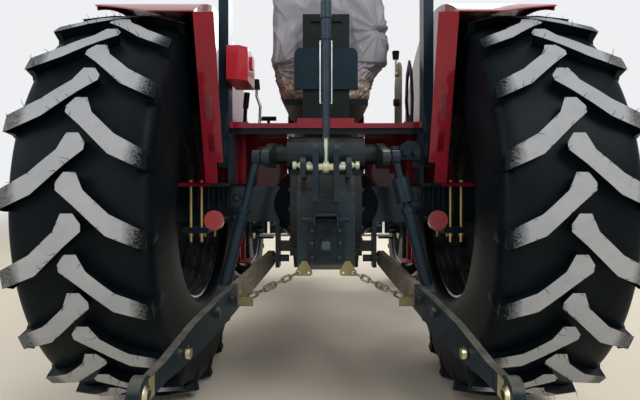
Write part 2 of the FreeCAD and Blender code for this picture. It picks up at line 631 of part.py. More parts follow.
def fenders():
    """A sheet fender over each rear tyre: an inner wall, a crown round the tyre and a rear flange."""
    wall, r = s.sheet_wall, s.fender_radius
    back, front = 34, -74
    arch = back - front
    high = s.rear_tyre_radius + s.axle_half_height + s.clamp_wall
    skirt_y = s.rear_axle_y + r * 0.9613
    foot_y = s.rear_axle_y - 262
    outline = [
        (foot_y, high), on_arc(r, back) + (arc_sag(r, arch),),
        on_arc(r, front), (skirt_y + 18, s.floor_top), (s.rear_axle_y + 210, s.floor_top),
        (s.rear_axle_y + 210, s.deck_top - s.deck_wall - 120), (s.rear_axle_y + 120, high)]
    side = plate("fender_side", "YZ", outline, s.fender_x, wall)
    # The crown narrows at the back, where its edge runs forward as it goes outward.
    outer = r + wall
    crown = plate("fender_crown", "YZ", [
        on_arc(r, back) + (arc_sag(r, arch),), on_arc(r, front), on_arc(outer, front) + (-arc_sag(outer, arch),),
        on_arc(outer, back)], s.fender_x, s.fender_out_x - s.fender_x)
    skirt = plate("fender_skirt", "YZ", [
        on_arc(r, front), (skirt_y + 18, s.floor_top), (skirt_y + 18 + wall, s.floor_top),
        on_arc(outer, front)], s.fender_x, s.fender_out_x - s.fender_x)
    lip = plate("fender_lip", "YZ", [
        on_arc(r - 16, back - 9) + (arc_sag(r - 16, arch - 9),), on_arc(r - 16, front),
        on_arc(outer, front) + (-arc_sag(outer, arch - 9),), on_arc(outer, back - 9)],
        s.fender_out_x - wall, wall)
    edge_y, edge_z = on_arc(r, back)
    run_y, run_z = edge_y - foot_y, edge_z - high
    flange = plate("fender_flange", "YZ", [
        (foot_y + run_y * 0.13, high + run_z * 0.13), (edge_y, edge_z),
        (edge_y + wall * 1.2, edge_z), (foot_y + run_y * 0.13 + wall * 1.2, high + run_z * 0.13)],
        s.fender_x - 64, 64)
    strip = plate("fender_strip", "YZ", [
        (foot_y, high), (foot_y + run_y * 0.13, high + run_z * 0.13),
        (foot_y + run_y * 0.13 + wall * 1.2, high + run_z * 0.13), (foot_y + wall * 1.2, high)],
        s.fender_x - 40, 40)
    trim = plate("fender_trim", "XY", [
        (s.fender_x + wall + 20, edge_y - 60), (s.fender_out_x + 20, edge_y - 60),
        (s.fender_out_x + 20, edge_y + 105)], s.rear_tyre_radius, r + 100)
    foot = box("fender_foot", (s.fender_x, s.fender_x + 128),
               (s.rear_axle_y - s.clamp_half_y, s.rear_axle_y + s.clamp_half_y), (high, high + wall))
    gusset = plate("fender_gusset", "XZ", [
        (s.fender_x, high), (s.fender_x + 96, high), (s.fender_x + 48, high + 150), (s.fender_x, high + 150)],
        s.rear_axle_y - 66, wall)
    raw = fuse("fender_raw", side, crown, skirt, lip, flange, strip, foot, gusset)
    # Openings: the bolts' holes in the foot, then the flange's slots as (height, length).
    holes = [rod(f"foot_hole_{i}_{j}", "Z", (x, y, high - 5), 6.5, 60)
             for i, x in enumerate((s.clamp_bolt_x, s.clamp_bolt_x + 42))
             for j, y in enumerate((s.rear_axle_y - s.clamp_bolt_y, s.rear_axle_y + s.clamp_bolt_y))]
    for z, length in ((931, 66), (1036, 85)):
        holes.append(box(f"flange_slot_{z}", (s.fender_x - 36, s.fender_x - 15), (edge_y - 20, foot_y + 60),
                         (z, z + length)))
    node_pair("fender", cut("fender_right", raw, trim, *holes))


def platform():
    """The seat deck, its riser, the foot floor beside the gearbox and a step each side."""
    wall = s.sheet_wall
    deck_back, deck_front = s.rear_axle_y - 150, s.rear_axle_y + 165
    step_front, step_back = s.hood_rear_y - 60, s.rear_axle_y + 800
    arm_top = s.rear_tyre_radius + s.axle_half_height + s.clamp_wall
    inner = s.gearbox_half + 24
    pieces = [box("seat_deck", (-s.deck_half, s.deck_half), (deck_back, deck_front),
                  (s.deck_top - s.deck_wall, s.deck_top))]
    # Raised pads at the deck's back edge: (left end, width, height).
    for x, wide, tall in ((-s.deck_half, 70, 5), (-112, 221, 19), (s.deck_half - 70, 70, 5)):
        pieces.append(box(f"deck_boss_{len(pieces)}", (x, x + wide), (deck_back, deck_back + 120),
                          (s.deck_top, s.deck_top + tall)))
    for side in (-1, 1):
        def add(name, x, y, z):
            pieces.append(box(f"{name}_{len(pieces)}", spans(side, *x), y, z))
        add("riser", (inner, s.fender_x), (deck_front, deck_front + wall), (s.floor_top, s.deck_top))
        add("foot_floor", (inner, s.fender_x), (deck_front, s.hood_rear_y - 40),
            (s.floor_top - 6, s.floor_top))
        add("foot_wing", (s.fender_x - 2, s.floor_half), (s.rear_axle_y + s.fender_radius + 10, s.hood_rear_y - 40),
            (s.floor_top - 6, s.floor_top))
        add("step", (440, 600), (step_back, step_front), (s.step_top - 6, s.step_top))
        for y in (step_back, step_front - 6):
            add("step_hanger", (500, 540), (y, y + 6), (s.step_top - 6, s.floor_top))
        add("floor_bearer", (s.gearbox_half, s.floor_half - 20), (step_back + 50, step_back + 90),
            (s.floor_top - 46, s.floor_top))
        # Each deck leg is a channel whose two flanges face back.
        leg_y = s.rear_axle_y - 8
        add("leg_web", (s.deck_leg_x, s.deck_leg_x + 56), (leg_y + 24, leg_y + 30), (arm_top, s.deck_top))
        for x in (s.deck_leg_x, s.deck_leg_x + 34):
            add("leg_flange", (x, x + 22), (leg_y, leg_y + 26), (arm_top, s.deck_top))
    node("platform", fuse("platform", *pieces))


def seat():
    """The suspension mast, the pan it carries and the cushions as they stand in their wrapping."""
    mast_back = s.rear_axle_y - 150
    mast = box("mast", (-s.mast_half, s.mast_half), (mast_back, mast_back + 86),
               (s.deck_top + 19, s.deck_top + 420))
    shoulder = plate("mast_plate", "XZ", [
        (-122, s.deck_top + 128), (122, s.deck_top + 128), (122, s.deck_top + 258, -5),
        (104, s.deck_top + 287), (-104, s.deck_top + 287, -5), (-122, s.deck_top + 258)],
        mast_back - 12, 14)
    slots = [box(f"mast_slot_{side + 1}", spans(side, 22, 60), (mast_back - 5, mast_back + 8),
                 (s.deck_top + 376, s.deck_top + 392)) for side in (-1, 1)]
    pan = box("seat_pan", (-170, 170), (mast_back + 86, mast_back + 520), (s.seat_low - 24, s.seat_low))
    node("seat_tower", cut("seat_tower", fuse("seat_tower_solid", mast, shoulder, pan), *slots))
    back, front, low, top, half = mast_back + 88, mast_back + 610, s.seat_low, s.seat_rest_top, s.seat_half
    prisms = [
        plate("seat_side", "YZ", [
            (back + 12, low), (front - 60, low), (front - 8, low + 40), (front, low + 92),
            (front - 22, low + 136), (front - 80, low + 150), (back + 196, low + 132), (back + 168, low + 160),
            (back + 112, top - 60), (back + 84, top - 18), (back + 44, top), (back + 14, top - 14),
            (back, top - 60), (back, low + 60)], -half - 20, half * 2 + 40),
        plate("seat_back_view", "XZ", [
            (-108, low), (108, low), (half - 36, low + 42), (half - 16, low + 100), (half, low + 190),
            (half, top - 150), (half - 20, top - 70), (half - 76, top), (-half + 76, top),
            (-half + 20, top - 70), (-half, top - 150), (-half, low + 190), (-half + 16, low + 100),
            (-half + 36, low + 42)], back - 20, front - back + 40),
        plate("seat_top_view", "XY", [
            (-half + 54, back), (half - 54, back), (half - 16, back + 18), (half, back + 54),
            (half, front - 90), (half - 22, front - 34), (half - 80, front), (-half + 80, front),
            (-half + 22, front - 34), (-half, front - 90), (-half, back + 54), (-half + 16, back + 18)],
            low - 20, top - low + 40)]
    cushions = doc.addObject("Part::MultiCommon", "seat")
    cushions.Shapes = prisms
    node("seat", cushions)


def station():
    """The dashboard cowl, its steering column and the wheel."""
    y = s.hood_rear_y - 60
    cowl = plate("cowl", "YZ", [
        (y - 30, s.gearbox_top), (y + 60 - s.hood_gap, s.gearbox_top),
        (y + 60 - s.hood_gap, s.hood_top - 20),
        (y + 20, s.hood_top + 20), (y - 60, s.hood_top - 10), (y - 80, s.hood_top - 120)], -196, 392)
    angle = 38
    lean = Rotation(Vector(1, 0, 0), angle)
    hub_y, hub_z = y - 150, s.hood_top + 40
    ring = doc.addObject("Part::Torus", "wheel_ring")
    ring.Radius1, ring.Radius2 = 195, 14
    hub = doc.addObject("Part::Cone", "wheel_hub")
    hub.Radius1, hub.Radius2, hub.Height = 36, 46, 36
    hub.Placement = FreeCAD.Placement(Vector(0, 0, -30), Rotation())
    stem = doc.addObject("Part::Cylinder", "wheel_stem")
    stem.Radius, stem.Height = 17, 108
    stem.Placement = FreeCAD.Placement(Vector(0, 0, -136), Rotation())
    spokes = []
    for i in range(3):
        spoke = doc.addObject("Part::Cylinder", f"wheel_spoke_{i}")
        spoke.Radius, spoke.Height = 8, 192
        turn = Rotation(Vector(0, 0, 1), 90 + 120 * i) * Rotation(Vector(0, 1, 0), 90)
        spoke.Placement = FreeCAD.Placement(Vector(), turn)
        spokes.append(spoke)
    wheel = fuse("steering_wheel", ring, hub, stem, *spokes)
    wheel.Placement = FreeCAD.Placement(Vector(), lean)
    place(wheel, 0, hub_y, hub_z)
    node("steering_wheel", wheel)
    bore = doc.addObject("Part::Cylinder", "column_bore")
    bore.Radius, bore.Height = 17 + 0.3, 160
    bore.Placement = FreeCAD.Placement(Vector(0, 0, -137), Rotation())
    column = doc.addObject("Part::Cylinder", "column")
    column.Radius, column.Height = 28, 100
    column.Placement = FreeCAD.Placement(Vector(0, 0, -160), Rotation())
    for piece in (bore, column):
        piece.Placement = FreeCAD.Placement(lean.multVec(piece.Placement.Base), lean)
        x, above, over = piece.Placement.Base
        place(piece, x, hub_y + above, hub_z + over)
    node("dashboard", cut("dashboard", fuse("cowl_and_column", cowl, column), bore))


def hood():
    """A one-piece hood open below and behind, with its grille and lamps in the nose."""
    rear, front = s.hood_rear_y, s.hood_front_y
    wide, top, low = s.hood_half, s.hood_top, s.hood_low
    shapes = []
    for name, gap, extra in (("hood_outer", 0.0, 0.0), ("hood_inner", s.hood_wall, 40.0)):
        body = doc.addObject("PartDesign::Body", name)
        sections = []
        for i, (y, half, drop) in enumerate((
                (rear - extra, wide, 0.0), (front - 260, wide - 14, s.hood_drop * 0.55),
                (front - gap, wide - 44, s.hood_drop * 1.6))):
            w = half - gap
            t = top - drop - gap
            base = low - extra if gap else low
            sections.append(draw(body, f"{name}_section_{i}", "XZ", [
                (-w, base), (w, base), (w, t - 120, -18.0), (w - 70, t - 20, -9.0),
                (-w + 70, t - 20, -18.0), (-w, t - 120)], -y))
        loft = body.newObject("PartDesign::AdditiveLoft", f"{name}_loft")
        loft.Profile = sections[0]
        loft.Sections = sections[1:]
        loft.Ruled = True
        shapes.append(body)
    shell = cut("hood_shell", shapes[0], shapes[1])
    hinge_y, hinge_z = front - s.hinge_back, low + s.hinge_up
    ears = [box(f"hood_ear_{side + 1}", (172, 180) if side > 0 else (-180, -172),
                (hinge_y - 16, front - s.hood_wall), (low, hinge_z + 18)) for side in (-1, 1)]
    bore = rod("hood_ear_bore", "X", (-wide, hinge_y, hinge_z), s.hinge_pin_radius + s.seat_gap, wide * 2)
    made = cut("hood", fuse("hood_and_ears", shell, *ears), bore)
    node("hood", made)


def headlamps():
    lamps = [rod(f"headlamp_{side + 1}", "Y", (118 * side, s.hood_front_y, s.hood_top - 260), 52, 16)
             for side in (-1, 1)]
    node("headlamps", pieces_apart("headlamps", *lamps))


def grille():
    """Slats in a frame that closes the nose under the hood's edge."""
    y = s.hood_front_y - 28
    top = s.hood_low - 24
    frame = box("grille_frame", (-186, 186), (y, y + 16), (s.rail_top, top))
    window = box("grille_window", (-160, 160), (y - 10, y + 30), (s.rail_top + 24, top - 20))
    slats = [box(f"grille_slat_{i}", (-164, 164), (y + 3, y + 13),
                 (s.rail_top + 32 + i * 18, s.rail_top + 38 + i * 18)) for i in range(5)]
    node("grille", fuse("grille", cut("grille_ring", frame, window), *slats))


def exhaust():
    """A silencer slung low on the right of the engine, with its tail turned out and down."""
    x, z = 252, 700
    can = rod("silencer", "Y", (x, 420, z + 120), 58, 380)
    pipe = rod("tail_pipe", "Y", (x, 800, z + 120), 24, 90)
    inlet = rod("exhaust_inlet", "X", (s.engine_half, 470, z + 120), 26, x - s.engine_half)
    node("exhaust", fuse("exhaust", can, pipe, inlet))


def hitch_arms():
    """The rocking shaft with its two arms."""
    y = s.rear_axle_y - s.rock_back
    stubs = rod("rock_shaft", "X", (-s.arm_end_x - 14, y, s.rock_z), s.rock_radius, s.arm_end_x * 2 + 28)
    inner = rod("rock_room", "X", (-150.3, y, s.rock_z), s.rock_radius + 2, 300.6)
    pieces = []
    end_y = s.rear_axle_y - s.arm_end_back
    for side in (-1, 1):
        x = (s.arm_end_x - 26) if side > 0 else (-s.arm_end_x)
        pieces.append(plate(f"lift_arm_{side + 1}", "YZ", [
            (y + 52, s.rock_z - 6), (y + 36, s.rock_z + 36, 12), (y - 34, s.rock_z + 40),
            (end_y - 4, s.arm_end_z + 24, -20), (end_y - 4, s.arm_end_z - 24),
            (y - 20, s.rock_z - 56)], x, 26))
        pin_x = s.arm_end_x - 26 if side > 0 else -s.arm_end_x - 34
        pieces.append(rod(f"arm_pin_{side + 1}", "X", (pin_x, end_y, s.arm_end_z), 11, 60))
    node("lift_arms", fuse("lift_arms", cut("rock_stubs", stubs, inner), *pieces))


def lift_rods():
    """Each lift rod: a fork on the arm's pin, a screw, and a thick tube down to the lower link."""
    top = (s.arm_end_x + 18, s.rear_axle_y - s.arm_end_back, s.arm_end_z)
    low = (s.lift_pin_x + 46, s.rear_axle_y - s.lift_pin_back, s.lift_pin_z)

    def along(share):
        return tuple(top[i] + (low[i] - top[i]) * share for i in range(3))
    # The right rod alone has a levelling box, as (start, end) shares of the rod's length.
    for name, levelling in (("lift_rod_right", (0.16, 0.34)), ("lift_rod_left", None)):
        pieces = [bar(f"{name}_screw", along(0.04), along(0.5), 13.5),
                  bar(f"{name}_tube", along(0.4), along(0.94), 19.5),
                  bar(f"{name}_collar", along(0.38), along(0.42), 23),
                  rod(f"{name}_eye", "X", (top[0] - 12, top[1], top[2]), 26, 26),
                  rod(f"{name}_foot", "X", (low[0] - 13, low[1], low[2]), 31, 26)]
        if levelling:
            pieces.append(bar(f"{name}_box", along(levelling[0]), along(levelling[1]), 30))
        bores = [rod(f"{name}_bore_{i}", "X", (x - 40, y, z), radius, 90)
                 for i, ((x, y, z), radius) in enumerate(((top, 11.4), (low, 19)))]
        made = cut(name, fuse(f"{name}_raw", *pieces), *bores)
        if name.endswith("left"):
            made = mirrored("lift_rod_left_placed", made)
        node(name, made)


def lower_links():
    """A flat bar from its front pin to the ball at its rear end, deepest where the lift rod holds it."""
    run_x = s.link_ball_x - s.link_pivot_x
    back = s.link_ball_back - s.link_pivot_back
    run = root(run_x * run_x + back * back)
    drop = s.link_ball_z - s.link_pivot_z
    yaw = math.degrees(math.atan2(float(run_x), float(back)))
    pivot_y = s.rear_axle_y - s.link_pivot_back

    def at(share, up):
        return -(run * share), drop * share + up
    bar_side = plate("link_side", "YZ", [
        at(0.0, 30) + (28,), at(0.0, -30), at(0.12, -34), at(0.35, -40), at(0.55, -46), at(0.72, -44),
        at(0.9, -24), at(1.0, -24), at(1.0, 24), at(0.9, 24), at(0.74, 44), at(0.55, 46), at(0.35, 38),
        at(0.12, 32)], -s.link_thick / 2, s.link_thick)
    bar_side.Placement = FreeCAD.Placement(Vector(), Rotation(Vector(0, 0, 1), yaw))
    place(bar_side, s.link_pivot_x, pivot_y, s.link_pivot_z)
    ball_at = (s.link_ball_x, s.rear_axle_y - s.link_ball_back, s.link_ball_z)
    ball = doc.addObject("Part::Sphere", "link_ball")
    bind(ball, "Radius", s.ball_radius)
    place(ball, *ball_at)
    lug_x = s.link_pivot_x + run_x * s.chain_lug_share - s.link_thick / 2
    lug_y = pivot_y - back * s.chain_lug_share
    lug_z = s.link_pivot_z + drop * s.chain_lug_share
    pieces = [
        bar_side, ball,
        rod("link_ring", "X", (ball_at[0] - 14, ball_at[1], ball_at[2]), 40, 28),
        rod("lift_pin", "X", (s.lift_pin_x - 16, s.rear_axle_y - s.lift_pin_back, s.lift_pin_z), 12, 78),
        # The lug that the check chain's end is bolted to stands in from the link's inner face.
        box("chain_lug", (lug_x - 48, lug_x + 12), (lug_y - 9, lug_y - 3), (lug_z - 34, lug_z - 4)),
        rod("chain_lug_bolt", "Y", (lug_x - 36, lug_y - 17, lug_z - 18), 8, 10)]
    # Bolts through the link: (share of its run, height over its middle line, radius, half length).
    for share, up, radius, half in ((0.3, 8, 8, 17), (0.48, 12, 9, 18), (0.6, 18, 14, 22), (0.8, -6, 14, 24)):
        y, z = at(share, up)
        pieces.append(rod(f"link_bolt_{len(pieces)}", "X", (
            s.link_pivot_x + run_x * share - half, pivot_y - back * share, s.link_pivot_z + z),
            radius, half * 2))
    holes = [rod("ball_bore", "X", (ball_at[0] - 60, ball_at[1], ball_at[2]), s.ball_bore, 120),
             rod("pivot_bore", "X", (s.link_pivot_x - 60, pivot_y, s.link_pivot_z), s.link_pin_radius + 0.4, 120)]
    for x in ((ball_at[0] + 22, ball_at[0] + 60), (ball_at[0] - 60, ball_at[0] - 22)):
        holes.append(box(f"ball_flat_{len(holes)}", x, (ball_at[1] - 60, ball_at[1] + 60),
                         (ball_at[2] - 60, ball_at[2] + 60)))
    node_pair("lower_link", cut("lower_link_right", fuse("link_solid", *pieces), *holes))


def chain_link(name, spin):
    """A chain link along +X from its first wire's middle at the origin, flat in XZ, or in XY when spun."""
    wire, half, reach = s.chain_wire, s.chain_link_half, s.chain_pitch + s.chain_wire * 2
    pieces = [rod(f"{name}_side_{side + 1}", "X", (half, 0, half * side), wire, reach - half * 2)
              for side in (-1, 1)]
    for end, x, angle in (("near", half, 90), ("far", reach - half, -90)):
        ring = doc.addObject("Part::Torus", f"{name}_{end}")
        bind(ring, "Radius1", half)
        bind(ring, "Radius2", wire)
        ring.Angle3 = 180
        ring.Placement = FreeCAD.Placement(
            Vector(), Rotation(Vector(1, 0, 0), 90) * Rotation(Vector(0, 0, 1), angle))
        place(ring, x, 0, 0)
        pieces.append(ring)
    made = fuse(f"{name}_flat", *pieces)
    if spin:
        turn = doc.addObject("Part::Compound", f"{name}_spun")
        turn.Links = [made]
        made.Placement = FreeCAD.Placement(Vector(), Rotation(Vector(1, 0, 0), 90))
        return turn
    return made


def chains():
    """A check chain on each side: three links, an oval plate and two links, hung from the anchor's hole."""
    lean = Rotation(Vector(0, 1, 0), 26.2)
    start = (s.chain_x, s.rear_axle_y - s.chain_back, s.chain_z)
    run, half, wall, hole, bite = 30, 12, 6, s.chain_wire + 2.2, 0.2
    step = s.chain_pitch + bite
    oval_at = step * 2 + s.chain_pitch + s.chain_wire + hole - bite
    link_4_at = oval_at + run + hole - s.chain_wire + bite
    # Each link: (how far along the chain it starts, whether it is turned across).
    hung = ((step * 0, True), (step, False), (step * 2, True), (link_4_at, True), (link_4_at + step, False))
    pieces = [(chain_link(f"chain_link_{i}", spin), away) for i, (away, spin) in enumerate(hung)]
    oval = plate("chain_oval", "XZ", [
        (0, -half), (run, -half, -half * 0.9), (run, half), (0, half, -half * 0.9)], -wall / 2, wall)
    holes = [rod(f"chain_oval_hole_{x}", "Y", (x, -wall, 0), hole, wall * 2) for x in (0, run)]
    pieces.append((cut("chain_plate", oval, *holes), oval_at))
    for made, away in pieces:
        slope = lean.multVec(Vector(1, 0, 0))
        made.Placement = FreeCAD.Placement(Vector(), lean)
        place(made, start[0] + away * slope.x, start[1], start[2] + away * slope.z)
    node_pair("chain", fuse("chain_right", *[made for made, away in pieces]))


def top_link():
    """The bracket on the hitch case with its A-frame and guard, and the link parked upright on its pin."""
    y, pin_z = s.rear_axle_y - s.top_pin_back, s.top_pin_z
    face = s.rear_axle_y - s.pto_face_back - 3
    case_slope, case_back = (s.rear_axle_y - 330, s.rear_tyre_radius + 110), face + 15
    pieces = []
    for side in (-1, 1):
        pieces.append(plate(f"cheek_{side + 1}", "YZ", [
            case_slope, (case_slope[0] + 14, pin_z + 46), (y + 40, pin_z + 76),
            (y - 8, pin_z + 76), (y - 26, pin_z + 58), (y - 26, pin_z - 40), (y - 12, pin_z - 90),
            (y - 12, s.a_frame_z), (case_back, s.a_frame_z), (case_back, s.rear_tyre_radius + 40)],
            *start_and_length(side, 24, 42)))
        pieces.append(plate(f"a_frame_{side + 1}", "XZ", [
            (across * side, up) for across, up in (
                (25, s.a_frame_z + 16), (39, s.a_frame_z + 16), (44, s.a_frame_z - 8), (60, s.a_frame_z - 44),
                (62, s.frame_pin_z - 10), (46, s.frame_pin_z - 10), (45, s.a_frame_z - 40),
                (30, s.a_frame_z - 8), (0, s.a_frame_z), (0, s.a_frame_z + 10))], face - 14, 14))
        pieces.append(rod(f"pin_nut_{side + 1}", "X", (spans(side, 10.2, 26)[0], y, pin_z), 14, 15.8))
    pieces.append(rod("frame_pin", "X", (-78, face - 8.2, s.frame_pin_z), 8, 156))
    pieces.append(rod("top_pin", "X", (-62, y, pin_z), s.top_pin_radius - 0.15, 124))
    pieces.append(plate("pto_guard", "XZ", [
        (-40, s.frame_pin_z - 14), (-34.5, s.frame_pin_z - 14), (-34.5, s.frame_pin_z + 8, 2.5),
        (-26, s.frame_pin_z + 16.5), (26, s.frame_pin_z + 16.5, 2.5), (34.5, s.frame_pin_z + 8),
        (34.5, s.frame_pin_z - 14), (40, s.frame_pin_z - 14), (40, s.frame_pin_z + 8, -4),
        (26, s.frame_pin_z + 22), (-26, s.frame_pin_z + 22, -4), (-40, s.frame_pin_z + 8)],
        face - 70, 70))
    node("top_link_bracket", fuse("top_link_bracket", *pieces))
    end_z = pin_z + s.top_link_run
    # The link from its foot up: (name, start over the pin, radius, length).
    solid = [rod(f"top_{name}", "Z", (0, y, pin_z + up), radius, length) for name, up, radius, length in (
        ("foot", 8, 7.5, 96), ("tube", 92, 11.5, 330), ("sleeve", 412, 14.5, 76), ("head", 480, 18, 56),
        ("screw", 530, 9, 24))]
    solid.append(rod("top_eye", "X", (-9, y, pin_z), 20, 18))
    solid.append(rod("top_end", "X", (-22, y, end_z), 21, 44))
    # The handle that turns the tube: a wire each side, with a bend at either end.
    for side in (-1, 1):
        low, high = pin_z + 205, pin_z + 408
        solid.append(rod(f"handle_side_{side + 1}", "Z", (18.5 * side, y, low), 2.5, high - low))
        for i, z in enumerate((low + 2, high - 2)):
            solid.append(rod(f"handle_end_{side + 1}_{i}", "X", (spans(side, 6, 19.5)[0], y, z), 3, 13.5))
    bores = [rod(f"top_bore_{i}", "X", (-40, y, z), s.top_pin_radius, 80) for i, z in enumerate((pin_z, end_z))]
    node("top_link", cut("top_link", fuse("top_link_solid", *solid), *bores))


def power_take_off():
    """The bolted cover at the back with its seal collar and the splined stub."""
    face = s.rear_axle_y - s.pto_face_back
    cover = box("pto_cover", (-62, 62), (face - 3, face + 12), (s.pto_z - 62, s.pto_z + 68))
    collar = rod("pto_collar", "Y", (0, face - 14, s.pto_z), 36, 20)
    stub = rod("pto_stub", "Y", (0, face - 90, s.pto_z), s.pto_radius, 90)
    bolts = [rod(f"pto_bolt_{i}", "Y", (x, face - 10, s.pto_z + z), 8, 12) for i, (x, z) in enumerate(
        ((-45, 40), (45, 40), (-46, -1), (46, -1), (-44, -47), (44, -47)))]
    node("pto", fuse("pto", cover, collar, stub, *bolts))


def hitch_hardware():
    """The bright fittings of the hitch: the two chain anchors and the two draft pins."""
    y, z = s.rear_axle_y - s.chain_back, s.chain_z
    pieces = []
    for side in (-1, 1):
        x = s.chain_x * side
        outline = [(x + across * side, z + up) for across, up in (
            (10, -4), (6, -10), (-40, -10), (-46, -4), (-46, 4), (-28, 38.7), (-12, 38.7), (10, 4))]
        hole = rod(f"anchor_hole_{side + 1}", "Y", (x, y - 10, z), 5.8, 20)
        spare = rod(f"anchor_spare_{side + 1}", "Y", ((s.chain_x - 34) * side, y - 10, z), 4, 20)
        pieces.append(cut(f"chain_anchor_{side + 1}",
                          plate(f"anchor_plate_{side + 1}", "XZ", outline, y - 3, 6), hole, spare))
        pin_y, pin_z = s.rear_axle_y - s.draft_pin_back, s.draft_pin_z
        # Each draft pin as steps out from the middle: (start, end, radius).
        steps = [rod(f"draft_step_{side + 1}_{i}", "X", (spans(side, low, high)[0], pin_y, pin_z), radius, high - low)
                 for i, (low, high, radius) in enumerate(
                     ((46, 112, 7), (50, 64, 13), (87, 92, 12), (100, 112, 14)))]
        pieces.append(fuse(f"draft_pin_{side + 1}", *steps))
    node("hitch_hardware", pieces_apart("hitch_hardware", *pieces))


def small_things():
    """The toolbox with its lid, the reflectors, the control levers and the remote valve."""
    y = s.rear_axle_y
    post_in = s.rops_x - s.rops_wide / 2
    low, top, lid_low, wall = s.toolbox_low, s.toolbox_top, s.toolbox_top - 14, 3
    left, right, back, front, slant = -post_in, -post_in + 76, y - 210, y - 10, 28

    def box_outline(inset):
        return [(left + inset, back + inset), (right - slant - inset * 0.4, back + inset),
                (right - inset, back + slant + inset * 0.4), (right - inset, front - inset),
                (left + inset, front - inset)]
    case = fuse("toolbox_case", plate("toolbox_outer", "XY", box_outline(0), low, lid_low - low),
                box("toolbox_latch", (right - 1, right + 8), (back + 90, back + 122), (lid_low - 52, lid_low - 6)))
    room = plate("toolbox_inner", "XY", box_outline(wall), low + wall, top - low)
    node("toolbox", cut("toolbox", case, room))
    node("toolbox_lid", plate("toolbox_lid", "XY", box_outline(0.3), lid_low + 0.3, top - lid_low - 0.3))
    discs = []
    for side in (-1, 1):
        disc_y, disc_z = y - 262, 684
        discs.append(fuse(
            f"reflector_{side + 1}", rod(f"reflector_disc_{side + 1}", "Y", (406 * side, disc_y, disc_z), 36, 12),
            box(f"reflector_arm_{side + 1}", spans(side, 399, 413), (disc_y + 10, y - s.axle_half_height),
                (disc_z - 4, disc_z + 4))))
    node("reflectors", pieces_apart("reflectors", *discs))
    deck = s.deck_top
    # The hitch quadrant on the right: a plate with an arc for its back, its lever and its stop.
    quadrant = fuse(
        "quadrant", plate("quadrant_plate", "YZ", [
            (y - 28, deck), (y + 160, deck), (y + 160, deck + 200, -24), (y + 60, deck + 288, -14),
            (y - 28, deck + 240)], 308, 5),
        box("quadrant_foot", (308, 352), (y - 30, y + 150), (deck, deck + 10)),
        plate("quadrant_ring", "YZ", [
            (y - 50, deck + 8), (y + 60, deck + 8), (y + 110, deck + 130), (y + 84, deck + 240),
            (y + 20, deck + 288), (y - 34, deck + 230), (y - 62, deck + 120)], 346, 9),
        bar("quadrant_lever", (300, y + 60, deck + 240), (302, y + 78, deck + 318), 5),
        rod("quadrant_knob", "Z", (302, y + 80, deck + 308), 13, 34, 16),
        rod("quadrant_pivot", "X", (296, y + 60, deck + 240), 12, 20),
        rod("quadrant_stop", "X", (286, y + 30, deck + 112), 15, 24))
    ring_room = plate("quadrant_ring_room", "YZ", [
        (y - 30, deck + 52), (y + 46, deck + 52), (y + 78, deck + 132), (y + 58, deck + 216),
        (y + 18, deck + 252), (y - 16, deck + 212), (y - 34, deck + 120)], 344, 13)
    levers = [
        cut("quadrant_assembly", quadrant, ring_room),
        # A cranked lever, a parking lever and a T handle stand on the left of the deck.
        fuse("range_lever", rod("range_base", "Z", (-296, y + 130, deck), 14, 10),
             bar("range_stick", (-296, y + 130, deck + 5), (-292, y + 132, deck + 116), 6),
             bar("range_crank", (-292, y + 132, deck + 114), (-309, y + 136, deck + 160), 6),
             bar("range_top", (-309, y + 136, deck + 158), (-308, y + 138, deck + 200), 6),
             rod("range_knob", "Z", (-308, y + 138, deck + 190), 15, 44, 11)),
        fuse("park_lever", rod("park_base", "Z", (-350, y + 60, deck), 16, 14),
             bar("park_stick", (-350, y + 60, deck + 8), (-340, y + 30, deck + 90), 8),
             bar("park_grip", (-340, y + 30, deck + 88), (-330, y + 10, deck + 150), 12)),
        fuse("draw_handle", rod("draw_stem", "Z", (-256, y + 140, deck), 7, 54),
             rod("draw_grip", "X", (-290, y + 140, deck + 60), 10, 68))]
    node("control_levers", pieces_apart("control_levers", *levers))
    valve_y = y - 230
    node("remote_valve", fuse(
        "remote_valve",
        plate("valve_block", "XZ", [
            (274, 906), (350, 906), (350, 950), (334, 970, -4), (296, 974), (274, 958)], valve_y, 90),
        box("valve_bracket", (330, post_in - 14), (valve_y + 54, valve_y + 70), (880, 948)),
        rod("valve_knob", "X", (250, valve_y + 45, 946), 15, 30),
        rod("valve_port_1", "Y", (294, valve_y - 26, 930), 13, 30),
        rod("valve_port_2", "Y", (330, valve_y - 26, 930), 13, 30)))


wheels()
rear_axle()
gearbox()
engine()
front_frame()
front_axle()
knuckle()
steering_linkage()
axle_clamps()
rops()
fenders()
platform()
seat()
station()
hood()
headlamps()
grille()
exhaust()
hitch_arms()
lift_rods()
lower_links()
chains()
top_link()
power_take_off()
hitch_hardware()
small_things()

doc.recompute()
failed = [item.Name for item in doc.Objects if "Invalid" in item.State or "Error" in item.State]
if failed:
    raise RuntimeError(f"objects that failed: {failed}")
for name, made in nodes.items():
    if made.Shape.isNull() or not made.Shape.isValid() or made.Shape.Volume <= 0:
        raise RuntimeError(f"bad shape: {name}")
os.makedirs("parts", exist_ok=True)
for name, made in nodes.items():
    made.Shape.exportStep(f"parts/{name}.step")
    print(f"{name}: {len(made.Shape.Solids)} solid, {made.Shape.Volume / 1e6:.2f} litres")
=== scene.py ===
"""A farm tractor seen from behind its hitch: finishes, tyres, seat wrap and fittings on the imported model.

All lengths are metres in the tractor's own frame: +Z up, +Y the way it drives, +X its right.
"""

import json
import math

